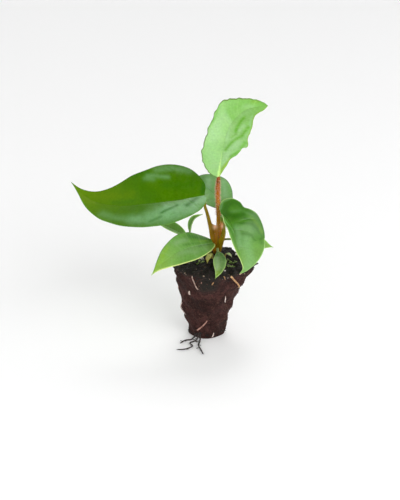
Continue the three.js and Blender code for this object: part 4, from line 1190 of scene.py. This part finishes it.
def soil_finish(settings):
    f = Finish("peat soil")
    wet, dry, damp = f.attribute("wet"), tuple(settings.dry_colour), tuple(settings.wet_colour)
    coarse, middle, fine = (f.noise(f.place, scale, 6, 0.62) for scale in (130, 520, 2300))
    colour = f.mix(f.fade(coarse, 0.42, 0.68, 0, 0.8), dry, SOIL_RUST)
    colour = f.mix(f.fade(middle, 0.38, 0.62, 0.75, 0), colour, darker(dry, 0.4))
    stains = f.fade(f.noise(f.place, 85, 3), 0.48, 0.6, 0, 0.72)
    colour = f.mix(wet, f.mix(stains, colour, darker(dry, 0.3)), damp)
    specks = f.mix(wet, linear(118, 90, 80), linear(66, 64, 56))
    colour = f.mix(f.fade(fine, 0.56, 0.7, 0, 0.42), colour, specks)
    colour = f.mix(f.fade(fine, 0.3, 0.44, 0.75, 0), colour, linear(20, 15, 13))
    threads = f.cells(f.stretched(f.place, 1, 1, 0.35), 900, feature="DISTANCE_TO_EDGE")
    colour = f.mix(f.fade(threads, 0, 0.035, 0.18, 0), colour, linear(104, 74, 60))
    normal = f.bump(middle, 0.0006, 0.9, f.bump(fine, 0.0002, 0.9))
    return f.set(colour, f.fade(wet, 0, 1, 0.92, 0.62), 0.15, normal)


def crumb_finish(name, shades, rough):
    """Crumbs take one of the shades at random. Each shade holds from its share up."""
    f = Finish(name)
    shade = f.add("ShaderNodeValToRGB", {0: f.attribute("shade")})
    shade.color_ramp.interpolation = "CONSTANT"
    stops = shade.color_ramp.elements
    stops.remove(stops[1])
    for number, (position, colour) in enumerate(shades):
        stop = stops.new(position) if number else stops[0]
        stop.color = (*linear(*colour), 1)
    grain = f.noise(f.place, 1900, 5)
    colour = f.mix(f.fade(grain, 0.35, 0.6, 0.6, 0), shade.outputs[0], linear(22, 17, 14))
    return f.set(colour, rough, 0.3, f.bump(grain, 0.00015, 0.8))


# Geometry Nodes

class Grower(Nodes):
    """A Geometry Nodes tree with named inputs, which ends in plain geometry of one material."""

    def __init__(self, name, numbers):
        group = bpy.data.node_groups.new(name, "GeometryNodeTree")
        super().__init__(group)
        group.interface.new_socket("Geometry", in_out="INPUT", socket_type="NodeSocketGeometry")
        for label, value in numbers.items():
            kind = "NodeSocketInt" if isinstance(value, int) else "NodeSocketFloat"
            socket = group.interface.new_socket(label, in_out="INPUT", socket_type=kind)
            socket.default_value = value
        group.interface.new_socket("Geometry", in_out="OUTPUT", socket_type="NodeSocketGeometry")
        self.given = group.nodes.new("NodeGroupInput").outputs
        self.numbers = numbers

    def finish(self, geometry, material):
        real = self.get("GeometryNodeRealizeInstances", {0: geometry})
        inputs = {"Geometry": real, "Material": material}
        self.add("NodeGroupOutput", {0: self.get("GeometryNodeSetMaterial", inputs)})
        return self

    def random(self, low, high, seed_shift):
        """A random number for each piece, or a random vector between two vectors."""
        number = isinstance(low, (int, float))
        kind, first, output = ("FLOAT", 2, 1) if number else ("FLOAT_VECTOR", 0, 0)
        seed = self.math("ADD", self.given["Seed"], seed_shift)
        inputs = {first: low, first + 1: high, "Seed": seed}
        return self.get("FunctionNodeRandomValue", inputs, output, data_type=kind)

    def named(self, label):
        return self.get("GeometryNodeInputNamedAttribute", {0: label}, data_type="FLOAT")

    def scatter(self, piece, share_name, turn=None, **more):
        """Puts the piece on points of the surface, at Density times the surface's named value."""
        density = self.times(self.given["Density"], self.named(share_name))
        inputs = {"Mesh": self.given["Geometry"], "Density": density, "Seed": self.given["Seed"]}
        points = self.add("GeometryNodeDistributePointsOnFaces", inputs).outputs
        return self.get("GeometryNodeInstanceOnPoints", {
            "Points": points["Points"], "Instance": piece,
            "Rotation": turn or points["Rotation"], **more,
        })

    def turned(self, pieces, turn):
        return self.get("GeometryNodeRotateInstances", {0: pieces, "Rotation": turn})

    def roughen(self, geometry, scale, amount):
        """Moves each point by soft noise, up to about half the amount each way."""
        place = self.get("GeometryNodeInputPosition")
        lumps = self.noise(place, scale, 2, 0.5, "Color")
        inputs = {0: lumps, 1: (-0.5, -0.5, -0.5)}
        centred = self.get("ShaderNodeVectorMath", inputs, operation="ADD")
        push = self.scaled(centred, amount)
        return self.get("GeometryNodeSetPosition", {0: geometry, "Offset": push})

    def tube_along(self, curve, sides, radius):
        inputs = {"Resolution": sides, "Radius": radius}
        profile = self.get("GeometryNodeCurvePrimitiveCircle", inputs)
        inputs = {"Curve": curve, "Profile Curve": profile, "Fill Caps": True}
        return self.add("GeometryNodeCurveToMesh", inputs)

    def grow_on(self, mesh, name):
        """Runs the tree on a copy of the mesh, and returns its result as a plain object."""
        grown = place_in_scene(name + "_source", mesh.copy())
        modifier = grown.modifiers.new("grow", "NODES")
        modifier.node_group = self.tree
        for item in self.tree.interface.items_tree:
            if item.in_out == "INPUT" and item.name in self.numbers:
                modifier[item.identifier] = self.numbers[item.name]
        return real_copy(grown, name)


def bristle_tree(settings, seed):
    g = Grower("bristles on a stalk", {
        "Density": settings.bristle_density / MM**2, "Length": settings.bristle_length,
        "Width": settings.bristle_width, "Lean": 0.35, "Seed": seed,
    })
    width, lean = g.given["Width"], g.given["Lean"]
    cone = g.get("GeometryNodeMeshCone", {
        "Vertices": 5, "Side Segments": 2, "Radius Bottom": g.times(width, 0.5),
        "Radius Top": g.times(width, 0.08), "Depth": g.given["Length"],
    }, fill_type="NGON")
    back = g.times(lean, -1)
    turn = g.random(g.vector(back, back), g.vector(lean, lean), 1)
    inputs = {0: g.turned(g.scatter(cone, "fuzz"), turn)}
    inputs["Scale"] = g.vector(1, 1, g.random(0.45, 1.1, 2))
    colour = tuple(settings.bristle_colour)
    finish = mottled_finish("pale bristle", colour, darker(colour, 0.6), 0.6)
    return g.finish(g.get("GeometryNodeScaleInstances", inputs), finish)


def crumb_tree(name, density, smallest, largest, share_name, seed, material):
    g = Grower(name, {
        "Density": density / MM**2, "Smallest": smallest, "Largest": largest, "Sink": 0.25,
        "Seed": seed,
    })
    smallest, largest = g.given["Smallest"], g.given["Largest"]
    ball = g.get("GeometryNodeMeshIcoSphere", {"Radius": 1, "Subdivisions": 2})
    span = g.math("SUBTRACT", largest, smallest)
    size = g.math("ADD", smallest, g.times(g.math("POWER", g.random(0, 1, 1), 2.2), span))
    squeeze = g.random((0.6, 0.6, 0.5), (1.25, 1.1, 0.95), 2)
    placed = g.scatter(
        g.roughen(ball, 1.4, 1.1), share_name, g.random((0, 0, 0), (6.28, 6.28, 6.28), 3),
        Scale=g.scaled(squeeze, size),
    )
    down = g.vector(z=g.times(g.given["Sink"], g.times(smallest, -1)))
    inputs = {0: placed, "Translation": down, "Local Space": False}
    sunk = g.get("GeometryNodeTranslateInstances", inputs)
    inputs = {"Geometry": sunk, "Name": "shade", "Value": g.random(0, 1, 4)}
    return g.finish(g.get(
        "GeometryNodeStoreNamedAttribute", inputs, data_type="FLOAT", domain="INSTANCE"
    ), material)


def fibre_tree(name, density, length, width, share_name, seed):
    g = Grower(name, {"Density": density / MM**2, "Length": length, "Width": width, "Seed": seed})
    arc = g.get("GeometryNodeCurveQuadraticBezier", {
        "Resolution": 7, "Start": (-0.5, 0, -0.04), "Middle": (0.05, 0.35, 0.1),
        "End": (0.5, 0, -0.04),
    })
    thickness = g.math("DIVIDE", g.given["Width"], g.given["Length"])
    fibre = g.tube_along(arc, 4, thickness).outputs[0]
    size = g.times(g.given["Length"], g.random(0.35, 1, 1))
    turn = g.random((-0.15, -0.15, 0), (0.15, 0.15, 6.28), 2)
    placed = g.turned(g.scatter(fibre, share_name, Scale=size), turn)
    return g.finish(placed, plain_finish("peat fibre"))


def strands(name, routes, material, sides=10, wobble=0.15, steps=40):
    """Uneven tubes along (x, y, z, radius) routes, which taper over their last points."""
    points, edges, thick = [], [], []
    for route in routes:
        line, _ = smooth_curve(route, steps)
        edges += [(len(points) + i, len(points) + i + 1) for i in range(steps)]
        points += (line[:, :3] * MM).tolist()
        ends = np.minimum(np.arange(steps + 1), np.arange(steps, -1, -1)) / 3
        thick += (line[:, 3] * MM * np.minimum(1, 0.15 + ends)).tolist()
    mesh = bpy.data.meshes.new(name + "_paths")
    mesh.from_pydata(points, edges, [])
    store(mesh, "thick", thick)
    g = Grower(name + " tubes", {
        "Sides": sides, "Wobble": wobble * MM, "Wobble Size": 400.0, "Seed": 1,
    })
    thick = g.named("thick")
    line = g.get("GeometryNodeMeshToCurve", {0: g.given["Geometry"]})
    line = g.get("GeometryNodeSetCurveRadius", {0: line, "Radius": thick})
    skin = g.tube_along(line, g.given["Sides"], 1)
    if "Scale" in skin.inputs:
        g.feed(skin.inputs["Scale"], thick)
    uneven = g.roughen(skin.outputs[0], g.given["Wobble Size"], g.given["Wobble"])
    g.finish(g.get("GeometryNodeSetShadeSmooth", {0: uneven}), material)
    return g.grow_on(mesh, name)


# The soil plug's own shape

def soil_centre(z):
    return PLUG_LEAN * (z / PLUG_HEIGHT) ** 2


def soil_radius(angle, z):
    share = z / PLUG_HEIGHT
    size = PLUG_FOOT_RADIUS + (PLUG_RIM_RADIUS - PLUG_FOOT_RADIUS) * share**PLUG_FLARE
    turned = angle - PLUG_TURN
    total = np.abs(np.cos(turned)) ** PLUG_SQUARENESS + np.abs(np.sin(turned)) ** PLUG_SQUARENESS
    lumps = sum(high * np.sin(n * angle + up * z + phase) for high, n, up, phase in SOIL_LUMPS)
    return size * total ** (-1 / PLUG_SQUARENESS) + lumps * np.minimum(1, z / FIRM_FOOT)


def soil_top(x, y):
    away = np.hypot(x - CROWN[0], y - CROWN[1]) / MOUND_RADIUS
    ripple = sum(high * np.sin(a * x + b * y + phase) for high, a, b, phase in SOIL_RIPPLES)
    return PLUG_HEIGHT + MOUND_HEIGHT * hill(away) + ripple


def side_route(route):
    """Points in space of a route on the plug's side, with their radius."""
    made = []
    for degrees, z, out, thickness in route:
        angle = math.radians(degrees)
        radius = float(soil_radius(angle, z)) + out
        x, y = soil_centre(z) + radius * math.cos(angle), radius * math.sin(angle)
        made.append((x, y * PLUG_DEPTH_RATIO, z, thickness))
    return made


def soil_shape():
    """The plug as a fine closed skin: up the middle of its foot, its side and over its top."""
    segments, side_rings, top_rings, side_end = 240, 120, 64, PLUG_HEIGHT - RIM_TOP
    angle = np.linspace(-math.pi, math.pi, segments, endpoint=False)
    rings = [(share, 0, 0) for share in (0.25, 0.5, 0.72, 0.88, 0.96)]
    rings += [(1, z, 0) for z in np.linspace(0.12, side_end, side_rings)]
    rings += [(share, side_end, 1) for share in np.linspace(0.99, 0.02, top_rings)]
    share, z, is_top = np.array(rings).T[..., None]
    radius = soil_radius(angle[None], z) * share
    x = soil_centre(z) + radius * np.cos(angle)
    y = radius * np.sin(angle) * PLUG_DEPTH_RATIO
    drop = RIM_DROP * np.maximum(0, share - 1 + RIM_SHARE) / RIM_SHARE
    height = np.where(is_top > 0, soil_top(x, y) - drop, z + 0 * x)
    points = np.stack([x, y, height], -1)
    # Lumps and grains: coarse and loose on the top and at the rim, pressed flat on the side.
    loose = ramp(np.maximum(is_top, (z - 38) / 7))
    held = ramp(z / 3) * np.where(is_top > 0, ramp(share / 0.1), 1)
    broad, middle, grains = (noise_at(points, *n) for n in ((6, 3), (2.4, 4), (1, 5)))
    ridged = 0.5 - np.abs(noise_at(points, 3.6, 6))
    push = broad * (0.25 + 0.7 * loose) + ridged * (0.2 + 1.0 * loose)
    push = push + middle * (0.15 + 0.45 * loose)
    push = (push + grains * (0.12 + 0.25 * loose) - 0.15) * held
    outward = [np.cos(angle) + 0 * z, np.sin(angle) * PLUG_DEPTH_RATIO + 0 * z, 0 * x]
    upward = is_top[..., None]
    direction = unit(np.stack(outward, -1) * (1 - 0.95 * upward) + np.array([0, 0, 1]) * upward)
    points = points + direction * push[..., None]
    points[..., 2] = np.maximum(points[..., 2], 0)
    # The damp dark mix of the top runs a tongue down the front.
    tongue = hill((np.degrees(angle) + 96) / 17, 4) * ramp((z - 31) / 5)
    wet = ramp(np.maximum(ramp(is_top + (z - 41.5) / 3 * (1 - is_top)), tongue))
    side = 1 - is_top
    values = {
        "wet": (wet, 0, 1), "top": (is_top * (share < 0.93), 0, 1), "side": (side * (z > 2), 0, 0),
        "rim": (hill((height - 43.5) / 2.2) * (share > 0.9), 0, 0),
        "foot": (side * (z > 1.3) * (z < 3.4), 0, 0),
    }
    values = {name: with_poles(grid + 0 * x, *ends) for name, (grid, *ends) in values.items()}
    poles = [(0, 0, 0), (soil_centre(PLUG_HEIGHT), 0, points[-1, :, 2].mean())]
    skin = np.vstack([points.reshape(-1, 3), poles])
    return Shape(skin, ring_faces(len(rings), segments), values)


# Operators

class PLANT_OT_build_leaves(bpy.types.Operator):
    """Build every leaf and sheath, with the stalks of the small ones"""
    bl_idname = "plant.build_leaves"
    bl_label = "Build Leaves"

    def execute(self, context):
        settings = context.scene.leaf_settings
        chosen = {
            "lime": settings.top_colour, "deep": settings.left_colour, "mid": settings.right_colour
        }
        finishes = {}
        for name, paint in LEAF_PAINTS.items():
            body = tuple(chosen.get(name, paint["body"]))
            finishes[name] = leaf_finish(name + " leaf", {**paint, "body": body})
        green_stalk = stalk_finish("green stalk", linear(118, 96, 44), linear(126, 154, 70))
        dry_stalk = stalk_finish("dry stalk", linear(120, 96, 56), linear(172, 160, 84))
        for name, leaf in LEAVES.items():
            blade = Blade(leaf, LEAF_MARKS.get(name, {}))
            share = 1 if blade.half[0] > LARGE_LEAF else 0.8
            shape = blade.shape(settings.thickness / MM * share, settings.relief)
            materials = [finishes[leaf["paint"]]]
            if "stalk" in leaf:
                shape.join(tube(leaf["stalk"], sides=14, steps=50, slot=1))
                materials.append(dry_stalk if "sheath" in name else green_stalk)
            declare(make_object(name, shape, *materials), leaf["slot"], leaf["node"])
        return {"FINISHED"}


class PLANT_OT_build_stem(bpy.types.Operator):
    """Build the crown and the stalks of the large leaves, grown into one another"""
    bl_idname = "plant.build_stem"
    bl_label = "Build Stem"

    def execute(self, context):
        stalks = [tube(route, sides=24, steps=70) for route in STEM.values()]
        webs = [tube([(*p, FORK_RADIUS) for p in fork], sides=12, steps=20) for fork in FORKS]
        rough = make_object("stem_source", stalks[0].join(*stalks[1:], *webs), main_stalk_finish())
        remesh = rough.modifiers.new("grow together", "REMESH")
        remesh.mode, remesh.voxel_size, remesh.use_smooth_shade = "VOXEL", STEM_GRAIN * MM, True
        smooth = rough.modifiers.new("soften", "SMOOTH")
        smooth.factor, smooth.iterations = 0.5, 5
        stem = real_copy(rough, "stem_and_stalks")
        paint_stem(stem.data)
        declare(stem, "stalk_brown", "stem_with_stalks")
        return {"FINISHED"}


def paint_stem(mesh):
    """Stores each point's tint, which holds a painted shadow line and a painted highlight, how
    pale it is, and how thickly bristles stand on it.
    """
    count, steps = len(mesh.vertices), 60
    places = np.zeros(count * 3)
    mesh.vertices.foreach_get("co", places)
    places = places.reshape(-1, 3) / MM
    total, tint = np.zeros(count), np.zeros((count, 3))
    for name, route in STEM.items():
        line, _ = smooth_curve(route, steps)
        gaps = np.linalg.norm(places[:, None] - line[None, :, :3], axis=2) - line[None, :, 3]
        weight = 1 / (np.abs(gaps.min(1)) + 0.15) ** 3
        tints = [linear(*colour) for colour in STALK_TINTS[name]]
        tint += at_share(tints, gaps.argmin(1) / steps) * weight[:, None]
        total += weight
    tint /= total[:, None]
    x, y, height = places.T
    front = y < 2
    # A dark ring stands under the blade.
    tint *= 1 - 0.75 * (hill((height - 93.2) / 0.55) * (x > 4))[:, None]
    edge = np.interp(height, *zip(*SHEATH_EDGE)) - x
    lap = ramp(edge / 0.3) * ramp((x - 6.2) / 1.2) * front
    lap *= ramp((height - 56) / 2) * ramp((71.5 - height) / 2)
    sheath = at_share([linear(*colour) for colour in SHEATH_TINTS], ramp((height - 57) / 12))
    tint += (sheath - tint) * lap[:, None]
    # A painted shadow darkens a line under the sheath's edge. The skin in the forks is pale, and
    # the spot on the front of the right stalk is a painted highlight.
    under = hill((edge + 0.2) / 0.22) * front * ramp((height - 60) / 2) * (height < 71)
    tint *= 1 - 0.55 * under[:, None]
    fork = ramp(sum(hill(np.linalg.norm((places - p) / size, axis=1)) for p, size in PALE_SKIN_AND_HIGHLIGHT_SPOTS))
    tint += (np.array(PALE_SKIN_AND_HIGHLIGHT_TINT) - tint) * 0.95 * fork[:, None]
    tint = np.hstack([tint, np.ones((count, 1))]).ravel()
    mesh.attributes.new("tint", "FLOAT_COLOR", "POINT").data.foreach_set("color", tint)
    on_top_stalk = (x > 4.2) & (height > 72) & (height < 94.4) & (y > -0.5)
    low_stalks = (height > 56) & (height <= 74)
    bare = np.where(low_stalks, 0.04, 0.02)
    store(mesh, "fuzz", np.where(on_top_stalk, 1, bare) * (height > 50))
    store(mesh, "pale", fork)


class PLANT_OT_build_bristles(bpy.types.Operator):
    """Grow the bristles on the stalks"""
    bl_idname = "plant.build_bristles"
    bl_label = "Build Bristles"

    def execute(self, context):
        stem = context.scene.objects.get("stem_and_stalks")
        if stem is None:
            raise RuntimeError("Build the stem before its bristles")
        tree = bristle_tree(context.scene.stalk_settings, seed=3)
        declare(tree.grow_on(stem.data, "stalk_bristles"), "stalk_brown")
        return {"FINISHED"}


class PLANT_OT_build_soil(bpy.types.Operator):
    """Build the plug of soil with its crumbs, fibres, perlite and moss"""
    bl_idname = "plant.build_soil"
    bl_label = "Build Soil"

    def execute(self, context):
        settings = context.scene.soil_settings
        seed, largest = settings.seed, settings.crumb_size
        soil = make_object("soil_body", soil_shape(), soil_finish(settings))
        declare(soil, "soil", "soil_plug")
        dark = crumb_finish("dark crumbs", DARK_SHADES, rough=0.75)
        brown = crumb_finish("brown crumbs", BROWN_SHADES, rough=0.95)
        # Where: crumbs on each square millimetre, smallest, share of the largest, seed, finish.
        groups = {
            "top": (settings.crumb_density, 0.16 * MM, 1, seed, dark),
            "rim": (1, 0.15 * MM, 0.85, seed + 10, dark),
            "side": (0.16, 0.1 * MM, 0.55, seed + 20, brown),
            "foot": (0.9, 0.2 * MM, 0.95, seed + 40, dark),
        }
        for where, (density, smallest, share, *rest) in groups.items():
            tree = crumb_tree(where + " crumbs", density, smallest, largest * share, where, *rest)
            declare(tree.grow_on(soil.data, where + "_crumbs"), "soil")
        fibres = fibre_tree(
            "side fibres", density=0.055, length=4.2 * MM, width=0.055 * MM, share_name="side",
            seed=seed + 30,
        )
        declare(fibres.grow_on(soil.data, "side_fibres"), "soil")
        declare(perlite_bits(), "soil")
        declare(moss_tufts(seed), "leaf_pale")
        return {"FINISHED"}


def perlite_bits():
    bits = []
    for number, ((x, y), size) in enumerate(PERLITE):
        bits.append(lump(size, number))
        bits[-1].points += (x, y, float(soil_top(x, y)) + 0.45 * size)
    return make_object("perlite", bits[0].join(*bits[1:]), plain_finish("perlite"))


def lump(size, seed, rings=11, sides=18):
    """A small rounded, uneven ball."""
    tilt = np.linspace(0, math.pi, rings + 2)[1:-1, None]
    turn = np.linspace(0, FULL_TURN, sides, endpoint=False)[None]
    ball = [np.sin(tilt) * np.cos(turn), np.sin(tilt) * np.sin(turn), np.cos(tilt) + 0 * turn]
    ball = np.vstack([np.stack(ball, -1).reshape(-1, 3), [[0, 0, 1], [0, 0, -1]]])
    ball *= (1 + 0.45 * noise_at(ball, 0.8, 20 + seed))[:, None] * size
    return Shape(ball * (1, 0.85, 0.7), ring_faces(rings, sides))


def moss_tufts(seed):
    """Short curved shoots that lean out of each patch."""
    random = np.random.default_rng(seed)
    shoots = []
    for patch, count in MOSS_PATCHES:
        for _ in range(count):
            turn, reach = random.uniform(0, FULL_TURN), random.uniform(0.3, 1.7)
            way = np.array([math.cos(turn), math.sin(turn)])
            foot = np.array(patch) + (1, 0.8) * (reach * way)
            lean = way * random.uniform(0.6, 1.6)
            rise, ground = random.uniform(0.7, 1.6), float(soil_top(*foot))
            shoots.append(tube((
                (*foot, ground - 0.4, 0.24), (*(foot + lean * 0.35), ground + rise * 0.6, 0.36),
                (*(foot + lean), ground + rise * 0.8, 0.2),
            ), sides=7, steps=10))
    return make_object("moss", shoots[0].join(*shoots[1:]), plain_finish("moss"))


class PLANT_OT_build_roots(bpy.types.Operator):
    """Build the roots on the plug and the wiry ones that trail from its foot"""
    bl_idname = "plant.build_roots"
    bl_label = "Build Roots"

    def execute(self, context):
        finishes = {name: plain_finish(name) for name in PLAIN_LOOKS if name.endswith("root")}
        for name, (finish, node, route) in SURFACE_ROOTS.items():
            declare(strands(name, [side_route(route)], finishes[finish]), "root_light", node)
        for number, (finish, route) in enumerate(SOIL_STRANDS, 1):
            declare(strands(
                f"root_end_{number}", [side_route(route)], finishes[finish], sides=8, wobble=0.1,
                steps=24,
            ), "root_light")
        routes = [
            [(*p, TRAILING_RADIUS - TRAILING_TAPER * i) for i, p in enumerate(route)]
            for route in TRAILING_ROOTS
        ]
        routes += trailing_hairs()
        declare(strands(
            "trailing_roots", routes, finishes["dark root"], sides=9, wobble=0.22, steps=60
        ), "root_dark", "roots_trailing")
        return {"FINISHED"}


def trailing_hairs():
    """Finer side roots of the trailing ones, low on the ground."""
    random = np.random.default_rng(HAIR_SEED)
    hairs = []
    for route in TRAILING_ROOTS:
        line, _ = smooth_curve(route, TRAILING_STEPS)
        for start in HAIR_STARTS:
            turn = random.uniform(0, FULL_TURN)
            way = np.array([math.cos(turn), math.sin(turn) * 0.8, 0])
            bend = np.array([-way[1], way[0], 0]) * random.uniform(-1, 1)
            base, length = line[start], random.uniform(1.5, 3.6)
            points = (base, base + way * length * 0.5 + bend * 0.5, base + way * length + bend)
            hairs.append([(x, y, max(0.35, min(z, 0.6)), HAIR_RADIUS) for x, y, z in points])
    return hairs


class PLANT_OT_build_stage(bpy.types.Operator):
    """Set up the pale floor, the soft lights and the camera"""
    bl_idname = "plant.build_stage"
    bl_label = "Build Stage"

    def execute(self, context):
        settings, scene = context.scene.stage_settings, context.scene
        half = settings.floor_size / 2
        corners = [(-half, -half, 0), (half, -half, 0), (half, half, 0), (-half, half, 0)]
        mesh = bpy.data.meshes.new("floor")
        mesh.from_pydata(corners, [], [(0, 1, 2, 3)])
        mesh.materials.append(Finish("pale floor").set(tuple(settings.floor_colour), 0.9, 0.1))
        floor = place_in_scene("floor", mesh)
        soft_sky(scene)
        for lamp in LAMPS:
            softbox(*lamp)
        camera = bpy.data.cameras.new("camera")
        camera.lens, camera.sensor_width, camera.clip_end = CAMERA_LENS, SENSOR_WIDTH, 50
        rise = settings.camera_height
        back = Vector((0, -math.cos(rise), math.sin(rise)))
        viewer = place_in_scene("camera", camera)
        viewer.location = Vector(CAMERA_TARGET) * MM + back * settings.camera_distance
        viewer.rotation_euler = (-back).to_track_quat("-Z", "Y").to_euler()
        scene.camera = viewer
        scene.view_settings.view_transform = "Standard"
        return {"FINISHED"}


def soft_sky(scene):
    """A white surround under a dark ceiling, with a bright soft window high behind the plant."""
    world = bpy.data.worlds.new("studio")
    world.use_nodes = True
    n = Nodes(world.node_tree)
    direction = n.get("ShaderNodeTexCoord", output="Generated")
    height = n.get("ShaderNodeSeparateXYZ", {0: direction}, 2)
    sky = n.fade(height, math.sin(SKY_BRIGHT_BELOW), math.sin(SKY_DARK_ABOVE), SURROUND, CEILING)
    level = math.cos(WINDOW_RISE)
    aim = (math.sin(WINDOW_TURN) * level, math.cos(WINDOW_TURN) * level, math.sin(WINDOW_RISE))
    inputs = {0: direction, 1: aim}
    facing = n.get("ShaderNodeVectorMath", inputs, "Value", operation="DOT_PRODUCT")
    window = n.fade(facing, math.cos(WINDOW_EDGE), math.cos(WINDOW_CORE), 0, WINDOW_LIGHT)
    background = world.node_tree.nodes["Background"]
    n.feed(background.inputs["Strength"], n.math("ADD", sky, window))
    n.feed(background.inputs["Color"], (1, 1, 1))
    scene.world = world


def softbox(name, place, size, power):
    light = bpy.data.lights.new(name, "AREA")
    light.shape, light.size, light.energy = "SQUARE", size, power
    lamp = place_in_scene(name, light)
    lamp.location = place
    lamp.rotation_euler = (Vector(LAMP_TARGET) - lamp.location).to_track_quat("-Z", "Y").to_euler()


BUILDERS = (
    PLANT_OT_build_stage, PLANT_OT_build_leaves, PLANT_OT_build_stem, PLANT_OT_build_bristles,
    PLANT_OT_build_soil, PLANT_OT_build_roots,
)
SETTINGS = {
    "leaf_settings": LeafSettings, "stalk_settings": StalkSettings,
    "soil_settings": SoilSettings, "stage_settings": StageSettings,
}


class PLANT_PT_panel(bpy.types.Panel):
    """Sizes, colours and build steps of the plant"""
    bl_idname = "PLANT_PT_panel"
    bl_label = "Young Philodendron"
    bl_space_type = "VIEW_3D"
    bl_region_type = "UI"
    bl_category = "Plant"

    def draw(self, context):
        for name, kind in SETTINGS.items():
            box = self.layout.box()
            for field in kind.__annotations__:
                box.prop(getattr(context.scene, name), field)
        for builder in BUILDERS:
            self.layout.operator(builder.bl_idname)


CLASSES = (*SETTINGS.values(), *BUILDERS, PLANT_PT_panel)


def register():
    for kind in CLASSES:
        bpy.utils.register_class(kind)
    for name, kind in SETTINGS.items():
        setattr(bpy.types.Scene, name, PointerProperty(type=kind))


def unregister():
    for name in SETTINGS:
        delattr(bpy.types.Scene, name)
    for kind in reversed(CLASSES):
        bpy.utils.unregister_class(kind)


def main():
    register()
    for builder in BUILDERS:
        group, step = builder.bl_idname.split(".")
        getattr(getattr(bpy.ops, group), step)()


if __name__ == "__main__":
    main()
